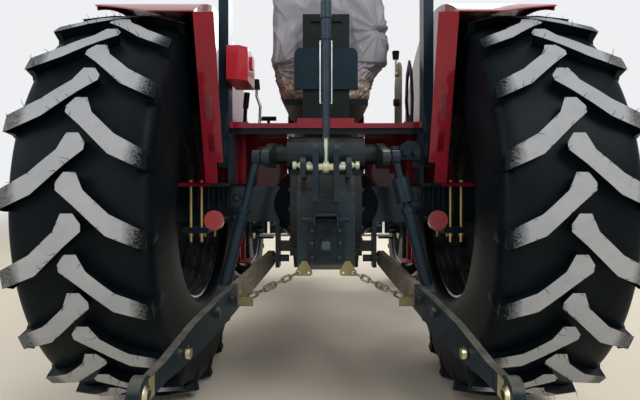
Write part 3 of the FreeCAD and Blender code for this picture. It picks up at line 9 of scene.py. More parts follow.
import bpy
import numpy as np
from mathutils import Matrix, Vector


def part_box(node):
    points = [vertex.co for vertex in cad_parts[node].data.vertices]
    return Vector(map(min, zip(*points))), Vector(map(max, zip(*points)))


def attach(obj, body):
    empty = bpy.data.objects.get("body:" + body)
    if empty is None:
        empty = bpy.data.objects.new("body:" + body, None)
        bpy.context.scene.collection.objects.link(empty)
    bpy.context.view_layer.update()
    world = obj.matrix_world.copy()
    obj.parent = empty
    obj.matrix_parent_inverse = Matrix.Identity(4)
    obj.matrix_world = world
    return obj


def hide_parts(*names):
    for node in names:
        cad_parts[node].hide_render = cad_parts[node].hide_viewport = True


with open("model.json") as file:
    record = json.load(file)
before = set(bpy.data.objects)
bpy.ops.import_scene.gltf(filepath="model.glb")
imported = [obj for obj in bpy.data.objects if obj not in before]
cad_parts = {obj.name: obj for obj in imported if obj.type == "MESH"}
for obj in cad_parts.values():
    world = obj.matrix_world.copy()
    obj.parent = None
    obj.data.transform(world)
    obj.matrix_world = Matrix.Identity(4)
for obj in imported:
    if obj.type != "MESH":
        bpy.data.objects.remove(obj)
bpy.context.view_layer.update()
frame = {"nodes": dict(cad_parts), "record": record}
NODES = frame["nodes"]
MM = 0.001
SURROUND = (0.86, 0.87, 0.89)


# Places read from the frame

def middle(node):
    """The middle of a node's box as an array."""
    low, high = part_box(node)
    return (np.array(low) + np.array(high)) / 2


def size(node):
    """The three sides of a node's box as an array."""
    low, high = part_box(node)
    return np.array(high) - np.array(low)


REAR_AXLE = middle("rear_tyre_right")


# Surfaces as arrays

class Shape:
    """Points and faces gathered from several surfaces before they become one mesh."""

    def __init__(self):
        self.points = []
        self.faces = []
        self.marks = []
        self.count = 0

    def grid(self, points, round_columns=False, mark=0.0):
        """Adds a grid of points, rows x columns x 3, joined to its neighbours by four-sided faces.
        mark is a number kept on each point. Gives the number of the grid's first point."""
        rows, columns = points.shape[:2]
        first = self.count
        self.points.append(points.reshape(-1, 3))
        self.marks.append(np.broadcast_to(np.asarray(mark, float).reshape(-1), (rows * columns,)))
        self.faces.append(grid_faces(rows, columns, round_columns) + first)
        self.count += rows * columns
        return first

    def cap(self, first, count, flip=False):
        """Closes a ring of points, which starts at the first one, with a single face."""
        ring = np.arange(count) + first
        self.faces.append(ring[None, ::-1] if flip else ring[None, :])


def grid_faces(rows, columns, round_columns):
    """Four-sided faces between neighbouring grid points; round columns join the last one to the first."""
    row = np.arange(rows - 1)[:, None]
    column = np.arange(columns if round_columns else columns - 1)[None, :]
    next_column = (column + 1) % columns
    corners = (row * columns + column, row * columns + next_column,
               (row + 1) * columns + next_column, (row + 1) * columns + column)
    return np.stack(corners, -1).reshape(-1, 4)


def stood(name, data):
    """A new object in the scene."""
    made = bpy.data.objects.new(name, data)
    bpy.context.scene.collection.objects.link(made)
    return made


def piece(name, shape, material, body, crease=None):
    """Makes the shape a mesh object that rides on a body. crease is the angle past which edges stay sharp."""
    mesh = bpy.data.meshes.new(name)
    points = np.concatenate(shape.points)
    loops = np.concatenate([array.ravel() for array in shape.faces])
    totals = np.concatenate([np.full(len(array), array.shape[1]) for array in shape.faces])
    mesh.vertices.add(len(points))
    mesh.vertices.foreach_set("co", points.astype(np.float32).ravel())
    mesh.loops.add(len(loops))
    mesh.loops.foreach_set("vertex_index", loops.astype(np.int32))
    mesh.polygons.add(len(totals))
    mesh.polygons.foreach_set("loop_start", (np.cumsum(totals) - totals).astype(np.int32))
    mesh.polygons.foreach_set("use_smooth", np.full(len(totals), True))
    mesh.update(calc_edges=True)
    mesh.validate()
    mark = mesh.attributes.new("mark", "FLOAT", "POINT")
    mark.data.foreach_set("value", np.concatenate(shape.marks).astype(np.float32))
    if crease is not None:
        mesh.set_sharp_from_angle(angle=math.radians(crease))
    mesh.materials.append(material)
    made = stood(name, mesh)
    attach(made, body)
    return made


def across_to(direction):
    """Two unit vectors square to each direction and to each other."""
    direction = direction / np.linalg.norm(direction, axis=-1, keepdims=True)
    help_axis = np.where(np.abs(direction[..., 2:]) > 0.9, [1.0, 0.0, 0.0], [0.0, 0.0, 1.0])
    side = np.cross(direction, help_axis)
    side /= np.linalg.norm(side, axis=-1, keepdims=True)
    return side, np.cross(side, direction)


def tube(shape, path, radius, sides, mark):
    """A pipe along a path: at each point a circle of that radius, square to the path, with closed ends."""
    ahead = np.gradient(path, axis=0)
    ahead /= np.linalg.norm(ahead, axis=1, keepdims=True)
    side, up = carried_frame(ahead)
    turn = np.arange(sides) * 2 * math.pi / sides
    ring = np.cos(turn)[None, :, None] * side[:, None] + np.sin(turn)[None, :, None] * up[:, None]
    first = shape.grid(path[:, None] + ring * radius[:, None, None], round_columns=True, mark=mark)
    shape.cap(first, sides)
    shape.cap(first + (len(path) - 1) * sides, sides, flip=True)


def carried_frame(ahead):
    """Two axes square to a path's directions, carried along it without twist."""
    side = np.zeros_like(ahead)
    side[0] = across_to(ahead[:1])[0][0]
    for i in range(1, len(ahead)):
        kept = side[i - 1] - ahead[i] * np.dot(side[i - 1], ahead[i])
        side[i] = kept / np.linalg.norm(kept)
    return side, np.cross(side, ahead)


def turned(shape, profile, start, axis, sides):
    """A profile of (along, radius) pairs spun about an axis through start, with closed ends."""
    profile = np.asarray(profile, float)
    axis = np.asarray(axis, float) / np.linalg.norm(axis)
    side, up = across_to(axis[None])
    turn = np.arange(sides) * 2 * math.pi / sides
    ring = np.cos(turn)[:, None] * side + np.sin(turn)[:, None] * up
    points = (np.asarray(start)[None, None] + profile[:, None, :1] * axis
              + profile[:, None, 1:] * ring[None])
    first = shape.grid(points, round_columns=True)
    shape.cap(first, sides)
    shape.cap(first + (len(profile) - 1) * sides, sides, flip=True)


# A bolt's head, chamfer and washer as shares of its width across flats; the washer's radius by the head's.
HEAD_SHARE = 0.62
CHAMFER_SHARE = 0.09
WASHER_SHARE = 0.14
WASHER_SPREAD = 1.32


def bolt(shape, at, axis, across_flats, washer=True):
    """A washer and a chamfered six-sided head, standing on a face at `at`."""
    radius = across_flats / math.sqrt(3)
    head = across_flats * HEAD_SHARE
    rise = 0.0
    if washer:
        rise = across_flats * WASHER_SHARE
        turned(shape, [(-0.0004, radius * WASHER_SPREAD), (rise, radius * WASHER_SPREAD)], at, axis, 20)
    inset = across_flats * CHAMFER_SHARE
    turned(shape, [(rise - 0.0002, radius), (rise + head - inset, radius), (rise + head, radius - inset)],
           at, axis, 6)


# Shader parts

def put(tree, kind, **settings):
    """Adds a node. A setting names a property of the node, or else an input socket and its value or link."""
    node = tree.nodes.new("ShaderNode" + kind)
    for key, value in settings.items():
        if hasattr(node, key):
            setattr(node, key, value)
            continue
        socket = node.inputs[int(key[1:]) if key[1:].isdigit() else key.replace("_", " ")]
        if isinstance(value, bpy.types.NodeSocket):
            tree.links.new(value, socket)
        else:
            socket.default_value = value
    return node


def mix(tree, factor, low, high):
    """A blend of two colours by a factor."""
    low, high = (value if isinstance(value, bpy.types.NodeSocket) else (*value, 1.0) for value in (low, high))
    return put(tree, "Mix", data_type="RGBA", i0=factor, i6=low, i7=high).outputs[2]


def between(tree, factor, low, high):
    """A blend of two numbers by a factor."""
    return put(tree, "Mix", data_type="FLOAT", i0=factor, i2=low, i3=high).outputs[0]


def spread(tree, value, low, high, to_low=0.0, to_high=1.0):
    """A value stretched from one range to another, held at its ends."""
    return put(tree, "MapRange", i0=value, i1=low, i2=high, i3=to_low, i4=to_high).outputs[0]


def times(tree, a, b, operation="MULTIPLY"):
    """The product of two numbers, or what another operation makes of them."""
    return put(tree, "Math", operation=operation, i0=a, i1=b).outputs[0]


def place_on(tree):
    """The point's place in its object's own coordinates, which are the tractor's."""
    return put(tree, "TexCoord").outputs["Object"]


def noise(tree, **settings):
    """Noise over the object's own coordinates."""
    return put(tree, "TexNoise", Vector=place_on(tree), **settings).outputs["Fac"]


def new_group(name, numbers, vectors=()):
    """An empty shader group as its tree, its named inputs and the socket of its one output."""
    tree = bpy.data.node_groups.new(name, "ShaderNodeTree")
    for labels, kind in ((vectors, "NodeSocketVector"), (numbers, "NodeSocketFloat")):
        for label in labels:
            tree.interface.new_socket(label, in_out="INPUT", socket_type=kind)
    tree.interface.new_socket("Value", in_out="OUTPUT", socket_type="NodeSocketFloat")
    given = tree.nodes.new("NodeGroupInput").outputs
    return tree, given, tree.nodes.new("NodeGroupOutput").inputs["Value"]


def cloud_group():
    """Soft patches: noise held between two levels, for dirt, fading and uneven paint."""
    tree, given, out = new_group("patches", ["Scale", "Low", "High"])
    cloud = noise(tree, Scale=given["Scale"], Detail=5.0, Roughness=0.6)
    tree.links.new(spread(tree, cloud, given["Low"], given["High"]), out)
    return tree


def dust_group():
    """Dust that settles on faces that look up, broken by noise."""
    tree, given, out = new_group("settled_dust", ["Amount", "Scale"])
    normal = put(tree, "NewGeometry").outputs["Normal"]
    facing = spread(tree, put(tree, "SeparateXYZ", Vector=normal).outputs["Z"], 0.35, 0.95)
    cloud = noise(tree, Scale=given["Scale"], Detail=6.0, Roughness=0.65)
    broken = spread(tree, cloud, 0.35, 0.7, 0.25, 1.0)
    tree.links.new(times(tree, times(tree, facing, broken), given["Amount"]), out)
    return tree


def grain_group():
    """Fine relief: small noise over a coarser one, for cast skin, paint and moulded plastic."""
    tree, given, out = new_group("grain", ["Fine", "Coarse", "Share"])
    fine = noise(tree, Scale=given["Fine"], Detail=3.0)
    coarse = noise(tree, Scale=given["Coarse"], Detail=3.0)
    tree.links.new(between(tree, given["Share"], fine, coarse), out)
    return tree


def zone_group():
    """One inside a box, nothing outside it: the smallest distance to the box's six faces, tested at zero.
    With Both Sides at one, X counts the same on the left and the right of the tractor."""
    tree, given, out = new_group("zone", ["Both Sides"], ["Low", "High"])
    parts = put(tree, "SeparateXYZ", Vector=place_on(tree)).outputs
    mirrored = put(tree, "Math", operation="ABSOLUTE", i0=parts["X"]).outputs[0]
    across = between(tree, given["Both Sides"], parts["X"], mirrored)
    place = put(tree, "CombineXYZ", X=across, Y=parts["Y"], Z=parts["Z"]).outputs[0]
    above = put(tree, "VectorMath", operation="SUBTRACT", i0=place, i1=given["Low"]).outputs[0]
    below = put(tree, "VectorMath", operation="SUBTRACT", i0=given["High"], i1=place).outputs[0]
    nearest = put(tree, "VectorMath", operation="MINIMUM", i0=above, i1=below).outputs[0]
    sides = put(tree, "SeparateXYZ", Vector=nearest).outputs
    least = times(tree, times(tree, sides["X"], sides["Y"], "MINIMUM"), sides["Z"], "MINIMUM")
    tree.links.new(times(tree, least, 0.0, "GREATER_THAN"), out)
    return tree


PATCHES = cloud_group()
DUST = dust_group()
GRAIN = grain_group()
ZONE = zone_group()


def grouped(tree, group, **values):
    """Places a shared group with its own values and returns its first output."""
    node = tree.nodes.new("ShaderNodeGroup")
    node.node_tree = group
    for key, value in values.items():
        node.inputs[key.replace("_", " ")].default_value = value
    return node.outputs[0]


def patches(tree, scale, low, high):
    """Soft patches of one scale, held between two levels of their noise."""
    return grouped(tree, PATCHES, Scale=scale, Low=low, High=high)


def material_of(name, roughness, metallic=0.0, **sockets):
    """A new material with its principled shader, whose steady values are set on the shader itself."""
    material = bpy.data.materials.new(name)
    material.use_nodes = True
    tree = material.node_tree
    shader = tree.nodes["Principled BSDF"]
    shader.inputs["Roughness"].default_value = roughness
    shader.inputs["Metallic"].default_value = metallic
    for key, value in sockets.items():
        shader.inputs[key.replace("_", " ")].default_value = value
    return material, tree, shader


def feed(shader, socket, value):
    """Joins a value to one of the shader's inputs."""
    shader.id_data.links.new(value, shader.inputs[socket])


def bump(tree, shader, height, strength, depth):
    """Relief on the shader's surface, with its depth in metres."""
    raised = put(tree, "Bump", Height=height, Strength=strength, Distance=depth)
    feed(shader, "Normal", raised.outputs["Normal"])


def skin(tree, shader, fine, coarse, share, strength, depth):
    """Relief from the grain group: two scales of noise and the coarser one's share."""
    bump(tree, shader, grouped(tree, GRAIN, Fine=fine, Coarse=coarse, Share=share), strength, depth)


DUST_COLOUR = (0.46, 0.40, 0.31)


def coated(name, shades, roughness, spots, dust, grain, dull=None, **sockets):
    """Two shades in patches, dust that settles on them and a fine relief. spots is what patches takes, dust
    is (amount, scale), grain is what skin takes, and dull is the roughness under full dust, if it differs."""
    material, tree, shader = material_of(name, roughness, **sockets)
    dusty = grouped(tree, DUST, Amount=dust[0], Scale=dust[1])
    feed(shader, "Base Color", mix(tree, dusty, mix(tree, patches(tree, *spots), *shades), DUST_COLOUR))
    if dull:
        feed(shader, "Roughness", between(tree, dusty, roughness, dull))
    skin(tree, shader, *grain)
    return material


def paint(name, shades, roughness, coat, dust):
    """Sprayed paint: two close shades, a clear coat, orange-peel relief and settled dust."""
    return coated(name, shades, roughness, (5.0, 0.35, 0.7), (dust, 16.0), (700.0, 90.0, 0.6, 0.06, 0.001),
                  0.85, Coat_Weight=coat, Coat_Roughness=0.06, Specular_IOR_Level=0.12)


def casting(name, colour, roughness, dust):
    """Painted cast iron: a pebbled skin, patches of thin paint and dust in its lap."""
    return coated(name, (colour, tuple(c * 1.7 + 0.004 for c in colour)), roughness, (9.0, 0.4, 0.75),
                  (dust, 22.0), (420.0, 130.0, 0.45, 0.5, 0.0012),
                  Coat_Weight=0.45, Coat_Roughness=0.14, Specular_IOR_Level=0.1)


def moulded(name, colour, roughness, dust, relief):
    """Black moulded plastic with a fine leather-like grain."""
    return coated(name, (colour, tuple(c * 1.5 for c in colour)), roughness, (12.0, 0.3, 0.8),
                  (dust, 30.0), (1500.0, 500.0, 0.5, relief, 0.0006))


def plated(name, shades, roughness, metallic=1.0):
    """Zinc or bright steel: metal with cloudy plating, stained in patches."""
    material, tree, shader = material_of(name, roughness, metallic)
    feed(shader, "Base Color", mix(tree, patches(tree, 38.0, 0.38, 0.66), *shades))
    feed(shader, "Roughness", spread(tree, patches(tree, 60.0, 0.3, 0.7), 0.0, 1.0,
                                     roughness * 0.8, roughness * 1.5))
    skin(tree, shader, 800.0, 200.0, 0.4, 0.12, 0.0005)
    return material


# What a zone of a painted node can be: colour, second colour, roughness, metallic.
ZINC_LOOK = ((0.64, 0.57, 0.32), (0.50, 0.48, 0.35), 0.32, 1.0)
GOLD_LOOK = ((0.90, 0.66, 0.26), (0.80, 0.62, 0.30), 0.36, 0.7)
GREENISH_LOOK = ((0.50, 0.55, 0.42), (0.42, 0.47, 0.36), 0.42, 0.75)
OLIVE_LOOK = ((0.26, 0.24, 0.12), (0.17, 0.15, 0.07), 0.45, 0.8)
# A pale grey for the painted highlight on the take-off stub's end.
STUB_HIGHLIGHT_LOOK = ((0.07, 0.08, 0.09), (0.05, 0.06, 0.07), 0.5, 0.3)
BRIGHT_LOOK = ((0.62, 0.62, 0.58), (0.44, 0.44, 0.42), 0.3, 1.0)
BLACK_LOOK = ((0.008, 0.009, 0.010), (0.016, 0.016, 0.018), 0.5, 0.0)
SLATE_LOOK = ((0.003, 0.014, 0.022), (0.006, 0.019, 0.029), 0.38, 0.0)
PALE_SLATE_LOOK = ((0.020, 0.036, 0.055), (0.032, 0.050, 0.070), 0.34, 0.0)
MID_SLATE_LOOK = ((0.008, 0.017, 0.027), (0.016, 0.028, 0.040), 0.32, 0.0)
CAST_LOOK = ((0.005, 0.013, 0.018), (0.012, 0.023, 0.031), 0.34, 0.0)
RED_LOOK = ((0.25, 0.007, 0.020), (0.19, 0.005, 0.015), 0.34, 0.0)
# A pale beige for painted light reflected from the floor.
FLOOR_LIT_LOOK = ((0.20, 0.170, 0.130), (0.13, 0.115, 0.095), 0.7, 0.0)
MAST_LOOK = ((0.003, 0.006, 0.007), (0.008, 0.012, 0.013), 0.45, 0.0)


def zoned(name, base, zones, dust=0.12, both_sides=1.0):
    """One look with boxes of other looks on it. zones holds (low corner, high corner, look) in metres."""
    shade, second, rough, metal = base
    material, tree, shader = material_of(name, rough, metal, Specular_IOR_Level=0.15)
    patch = patches(tree, 16.0, 0.36, 0.68)
    colour = mix(tree, patch, shade, second)
    for low, high, look in zones:
        mask = grouped(tree, ZONE, Low=low, High=high, Both_Sides=both_sides)
        colour = mix(tree, mask, colour, mix(tree, patch, look[0], look[1]))
        metal = between(tree, mask, metal, look[3])
        rough = between(tree, mask, rough, look[2])
    dusty = grouped(tree, DUST, Amount=dust, Scale=20.0)
    feed(shader, "Base Color", mix(tree, dusty, colour, DUST_COLOUR))
    if zones:
        feed(shader, "Metallic", metal)
        feed(shader, "Roughness", rough)
    skin(tree, shader, 520.0, 150.0, 0.5, 0.2, 0.0008)
    return material


def patterned(name, kind, output, scale, shades, strength, roughness, metallic=0.0, depth=0.002, **sockets):
    """A finish whose colour and relief both follow one texture."""
    material, tree, shader = material_of(name, roughness, metallic, **sockets)
    pattern = put(tree, kind, Vector=place_on(tree), Scale=scale).outputs[output]
    feed(shader, "Base Color", mix(tree, pattern, *shades))
    bump(tree, shader, pattern, strength, depth)
    return material


def rubber():
    """Tyre rubber: blue-black flanks, bar tops greyed by dust where their mark is high and darker where it
    falls towards their outer ends, which is painted shade, and moulding relief.
    """
    material, tree, shader = material_of("tyre_rubber", 0.5, Specular_IOR_Level=0.06)
    mark = put(tree, "Attribute", attribute_name="mark").outputs["Fac"]
    cloud = patches(tree, 26.0, 0.25, 0.6)
    speckle = patches(tree, 160.0, 0.35, 0.6)
    edge = times(tree, mark, spread(tree, cloud, 0.0, 1.0, 0.82, 1.0))
    missing = times(tree, spread(tree, mark, 0.5, 0.95, 0.45, 0.0), times(tree, 1.0, speckle, "SUBTRACT"))
    edge = times(tree, edge, times(tree, 1.0, missing, "SUBTRACT"))
    dust_and_end_shade = spread(tree, edge, 0.3, 0.9)
    flank = mix(tree, patches(tree, 6.0, 0.4, 0.8), (0.002, 0.005, 0.007), (0.007, 0.010, 0.012))
    top = mix(tree, patches(tree, 11.0, 0.3, 0.75), (0.29, 0.31, 0.34), (0.37, 0.37, 0.37))
    feed(shader, "Base Color", mix(tree, dust_and_end_shade, flank, top))
    feed(shader, "Roughness", between(tree, dust_and_end_shade, 0.42, 0.8))
    skin(tree, shader, 700.0, 120.0, 0.5, 0.3, 0.0012)
    return material


def film():
    """Thin cloudy plastic film: grey-lilac with its lit and shaded tone mixed in soft patches as painted
    light and shade, beige towards its gathered lower edge where its mark is high, a little see-through in
    patches.
    """
    material, tree, shader = material_of("plastic_film", 0.42, Specular_IOR_Level=0.35)
    mark = put(tree, "Attribute", attribute_name="mark").outputs["Fac"]
    # Two greys, the film's lit and its shaded tone, in soft patches: painted light and shade.
    upper = mix(tree, patches(tree, 5.0, 0.35, 0.7), (0.20, 0.205, 0.24), (0.36, 0.36, 0.40))
    lower = mix(tree, patches(tree, 40.0, 0.4, 0.6), (0.24, 0.19, 0.16), (0.66, 0.56, 0.46))
    feed(shader, "Base Color", mix(tree, spread(tree, mark, 0.25, 0.75), upper, lower))
    feed(shader, "Alpha", spread(tree, patches(tree, 9.0, 0.4, 0.75), 0.0, 1.0, 0.90, 1.0))
    skin(tree, shader, 90.0, 26.0, 0.8, 0.2, 0.004)
    return material


def wrapped_rim():
    """A rim under a tight film: near-black, partly as painted shade, with thin pale creases painted as
    highlights that curl round the wheel.
    """
    material, tree, shader = material_of("wrapped_rim", 0.28, Coat_Weight=0.7, Coat_Roughness=0.12,
                                         Specular_IOR_Level=0.3)
    wave = put(tree, "TexWave", Vector=place_on(tree), Scale=9.0, Distortion=3.5, Detail=2.0).outputs["Fac"]
    # The pale creases are painted highlights.
    crease = times(tree, spread(tree, wave, 0.72, 1.0), patches(tree, 10.0, 0.45, 0.62))
    dark = mix(tree, patches(tree, 14.0, 0.42, 0.7), (0.030, 0.036, 0.043), (0.10, 0.11, 0.12))
    feed(shader, "Base Color", mix(tree, times(tree, crease, 0.45), dark, (0.40, 0.42, 0.44)))
    bump(tree, shader, wave, 0.35, 0.003)
    return material


# A lighter copy of the red paint: painted sunlight on the toolbox and its lid.
SUNLIT_RED = paint("sunlit_red_paint", ((0.46, 0.022, 0.036), (0.40, 0.018, 0.030)), 0.34, 0.4, 0.08)
BOLT_PAINT = paint("bolt_paint", PALE_SLATE_LOOK[:2], 0.4, 0.2, 0.10)
CHAIN = plated("dull_zinc", ((0.27, 0.24, 0.18), (0.10, 0.09, 0.06)), 0.40, 0.9)
VINYL = moulded("seat_vinyl", (0.012, 0.012, 0.014), 0.45, 0.0, 0.5)
RUBBER = rubber()
FILM = film()

FINISHES = {
    "tyre": RUBBER,
    "red_paint": paint("red_paint", RED_LOOK[:2], 0.34, 0.5, 0.06),
    "slate_paint": paint("slate_paint", SLATE_LOOK[:2], 0.40, 0.15, 0.06),
    "rim_paint": wrapped_rim(),
    "dark_casting": casting("dark_casting", CAST_LOOK[0], 0.42, 0.16),
    "zinc_plate": plated("zinc_plate", ZINC_LOOK[:2], 0.34),
    "black_plastic": moulded("black_plastic", (0.009, 0.010, 0.011), 0.5, 0.2, 0.25),
    "seat_cover": VINYL,
    # Rings of small prisms under the lens's smooth face.
    "red_lens": patterned("red_lens", "TexVoronoi", "Distance", 380.0,
                          ((0.34, 0.020, 0.032), (0.52, 0.075, 0.085)), 0.5, 0.18, depth=0.001,
                          Coat_Weight=1.0, Coat_Roughness=0.05),
    # A fluted glass over a bright bowl, kept opaque.
    "lamp_glass": patterned("lamp_glass", "TexWave", "Fac", 26.0,
                            ((0.50, 0.53, 0.56), (0.80, 0.83, 0.85)), 0.5, 0.08, Coat_Weight=1.0),
    # Fine upright fins, pale over dark stripes of painted shade between them.
    "radiator_fins": patterned("radiator_fins", "TexWave", "Fac", 130.0,
                               ((0.02, 0.02, 0.022), (0.2, 0.2, 0.21)), 0.8, 0.6, 0.6),
    "machined_steel": plated("machined_steel", ((0.48, 0.48, 0.47), (0.36, 0.36, 0.36)), 0.3),
}


def own_finishes():
    """Finishes of the nodes that don't have their slot's plain one, by the node's name without its side."""
    y, z = REAR_AXLE[1], REAR_AXLE[2]
    # Slate clamps under a red foot, with gold-plated long bolts: heads, shanks between the plates, nuts.
    clamp = zoned("clamp_slate", MID_SLATE_LOOK, [
        ((0.44, y - 0.18, z + 0.0705), (0.56, y + 0.14, z + 0.0835), RED_LOOK),
        ((0.474, y - 0.126, z + 0.0835), (0.546, y + 0.126, z + 0.13), GOLD_LOOK),
        ((0.480, y - 0.120, z - 0.0885), (0.540, y - 0.104, z + 0.0705), GOLD_LOOK),
        ((0.480, y + 0.104, z - 0.0885), (0.540, y + 0.120, z + 0.0705), GOLD_LOOK),
        ((0.474, y - 0.126, z - 0.16), (0.546, y + 0.126, z - 0.1112), GOLD_LOOK)])
    # A slate tube between a plated foot and a plated end, with painted highlights along its left and right
    # edges over its middle.
    top_link = zoned("top_link_slate", PALE_SLATE_LOOK, [
        ((-0.1, -2, 0.8), (0.1, 0, 0.9600), GREENISH_LOOK),
        ((-0.1, -2, 1.4025), (0.1, 0, 1.6), ZINC_LOOK),
        ((0.0152, -2, 1.07), (0.1, 0, 1.28), BRIGHT_LOOK)])
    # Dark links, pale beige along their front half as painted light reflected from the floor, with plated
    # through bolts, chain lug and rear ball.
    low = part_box("lower_link_right")[0]
    lower_link = zoned("link_slate", CAST_LOOK, [
        ((0.20, -1.30, 0.40), (0.36, -0.90, 0.56), FLOOR_LIT_LOOK),
        ((0.20, -1.31, 0.42), (0.2795, -1.24, 0.47), OLIVE_LOOK),
        ((0.330, -1.664, 0.365), (0.3525, -1.630, 0.397), ZINC_LOOK),
        ((0.3775, -1.664, 0.365), (0.400, -1.630, 0.397), ZINC_LOOK),
        ((0.375, low.y, 0.32), (0.3868, low.y + 0.08, 0.39), ZINC_LOOK),
        ((0.4152, low.y, 0.32), (0.430, low.y + 0.08, 0.39), ZINC_LOOK)], dust=0.3)
    # Black grips and ring, an olive quadrant plate, and plated sticks on the left and the right.
    levers = zoned("lever_black", BLACK_LOOK, [
        ((0.3075, y - 0.1, 1.05), (0.3135, y + 0.2, 1.36), OLIVE_LOOK),
        ((0.290, y + 0.04, 1.27), (0.3074, y + 0.1, 1.358), ZINC_LOOK),
        ((0.3136, y - 0.06, 1.05), (0.3455, y + 0.2, 1.064), OLIVE_LOOK),
        ((-0.318, y + 0.11, 1.062), (-0.284, y + 0.16, 1.241), BRIGHT_LOOK)], both_sides=0.0)
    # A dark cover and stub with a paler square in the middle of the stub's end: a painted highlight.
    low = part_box("pto")[0]
    take_off = zoned("take_off_casting", CAST_LOOK, [
        ((-0.0125, low.y - 0.01, 0.6095), (0.0125, low.y + 0.004, 0.6345), STUB_HIGHLIGHT_LOOK)])
    # A near-black mast and pan with a slate plate across the mast.
    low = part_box("seat_tower")[0]
    tower = zoned("tower_black", MAST_LOOK, [
        ((-0.13, low.y - 0.01, 1.180), (0.13, low.y + 0.0135, 1.340), SLATE_LOOK)])
    # A slate bracket whose cross pin and nuts are plated; the pin runs through the top link's foot.
    y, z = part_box("top_link")[0].y + 0.021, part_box("top_link")[0].z + 0.020
    bracket = zoned("bracket_slate", MID_SLATE_LOOK, [
        ((0.0095, y - 0.016, z - 0.0145), (0.0239, y + 0.016, z + 0.0145), ZINC_LOOK),
        ((0.0421, y - 0.0105, z - 0.0105), (0.07, y + 0.0105, z + 0.0105), GREENISH_LOOK)])
    # Olive-plated chain anchors low down and greenish draft pins above them.
    fittings = zoned("hitch_fitting_zinc", OLIVE_LOOK, [((-0.2, -2, 0.7), (0.2, 0, 1.0), GREENISH_LOOK)])
    return {
        "axle_clamp": clamp, "top_link": top_link, "lower_link": lower_link, "control_levers": levers,
        "pto": take_off, "top_link_bracket": bracket, "hitch_hardware": fittings, "seat_tower": tower,
        "lift_rod": zoned("rod_slate", MID_SLATE_LOOK, []), "chain": CHAIN, "toolbox": SUNLIT_RED,
        "toolbox_lid": SUNLIT_RED,
    }


def dress_nodes():
    """Gives every node of the frame its own finish, or else the finish of its material slot."""
    own = own_finishes()
    slots = {row["node"]: row["material_slot"] for row in frame["record"]["subparts"]}
    for name, node in NODES.items():
        plain_name = name.removesuffix("_left").removesuffix("_right")
        node.data.materials.clear()
        node.data.materials.append(own.get(plain_name, FINISHES[slots[name]]))


# Tyres

# Corners of one bar on its own side of the tread's middle, in mm: (across, round the tyre).
# The leading edge runs from the head's tip to the shoulder, the trailing edge beside it.
LEADING = [(-13, 0), (17, 0), (38, -47), (108, -112), (198, -160)]
TRAILING = [(-32, -27), (-31, -45), (14, -84), (100, -166), (198, -210)]
# The front tyre's bars against the rear's.
FRONT_SHARE = 0.62
# How far the tread falls from its middle to its edge, as a share of a bar's height.
CROWN = 0.36
# The flanks stand in from the solid's widest line, as the photograph shows them.
FLANK_SHARE = 0.93
# The power of the superellipse between flank and tread: the higher, the squarer the shoulder.
SHOULDER_POWER = 9.0
# How far each bead sits in from the rim's edge.
BEAD_INSET = 0.008
# Rings moulded on the flank: (place as a share of the way from bead to tread, width, height).
FLANK_RINGS = ((0.13, 0.03, 0.005), (0.36, 0.012, 0.0016), (0.44, 0.012, 0.0016))
# Rings of a bar from its buried foot to its top: (push outwards mm, share of the height, mark).
BAR_RINGS = [(17, -0.10, 0.0), (11, 0.015, 0.02), (7.5, 0.09, 0.05), (5.5, 0.22, 0.08), (1.6, 0.90, 0.25),
             (0.5, 0.975, 0.75), (-2.2, 1.0, 1.0)]
# Faces across a bar's top.
BAR_STEPS = 4
# No hair stands on a bar whose top is lower than this, because it would be pressed into the floor.
HAIR_CLEAR = 0.03
HAIRS_ON_EDGE = 4


def stepped(corners, steps):
    """Points along a run of corners, with the same number of steps between each pair."""
    corners = np.asarray(corners, float)
    share = np.linspace(0, len(corners) - 1, (len(corners) - 1) * steps + 1)
    whole = np.arange(len(corners))
    return np.stack([np.interp(share, whole, corners[:, i]) for i in (0, 1)], 1)


def bar_edges(scale, steps):
    """The leading and trailing edge of a bar's outline in metres."""
    return [stepped(corners, steps) * scale * MM for corners in (LEADING, TRAILING)]


def pushed_out(loop, distance):
    """A closed loop of plan points moved outwards, square to its edges."""
    before = loop - np.roll(loop, 1, 0)
    after = np.roll(loop, -1, 0) - loop
    edges = [e / np.linalg.norm(e, axis=1, keepdims=True) for e in (before, after)]
    normals = [np.stack([e[:, 1], -e[:, 0]], 1) for e in edges]
    out = normals[0] + normals[1]
    stretch = 2 / np.maximum((out ** 2).sum(1, keepdims=True), 1.2)
    return loop + out * stretch * distance


class Carcass:
    """The tyre without bars: a superellipse above its widest line and a cosine flank down to the bead."""

    def __init__(self, top, lug_height, rim_radius, half_width, bead_half):
        self.top = top
        self.lug_height = lug_height
        self.base = base = top - lug_height
        self.bead = rim_radius
        self.half = half_width
        self.bead_half = bead_half
        self.middle = rim_radius + (base - rim_radius) * 0.50

    def radius_at(self, across):
        """The outer surface's radius at a distance from the tread's middle."""
        share = np.clip(np.abs(across) / self.half, 0, 0.975)
        return self.middle + (self.base - self.middle) * (1 - share ** SHOULDER_POWER) ** (1 / SHOULDER_POWER)

    def profile(self, steps):
        """(across, radius) pairs from the inner bead over the tread to the outer bead."""
        turn = np.linspace(0, math.pi / 2, steps)
        upper = np.stack([self.half * np.cos(turn) ** (2 / SHOULDER_POWER),
                          self.middle + (self.base - self.middle) * np.sin(turn) ** (2 / SHOULDER_POWER)], 1)
        flank = np.linspace(math.pi / 2, 0, steps // 2, endpoint=False)
        lower = np.stack([self.bead_half + (self.half - self.bead_half) * np.cos(flank) ** 0.8,
                          self.middle - (self.middle - self.bead) * np.sin(flank)], 1)
        right = np.concatenate([lower, upper])
        left = right[:-1][::-1] * [-1, 1]
        return np.concatenate([left[::-1], right[::-1]])


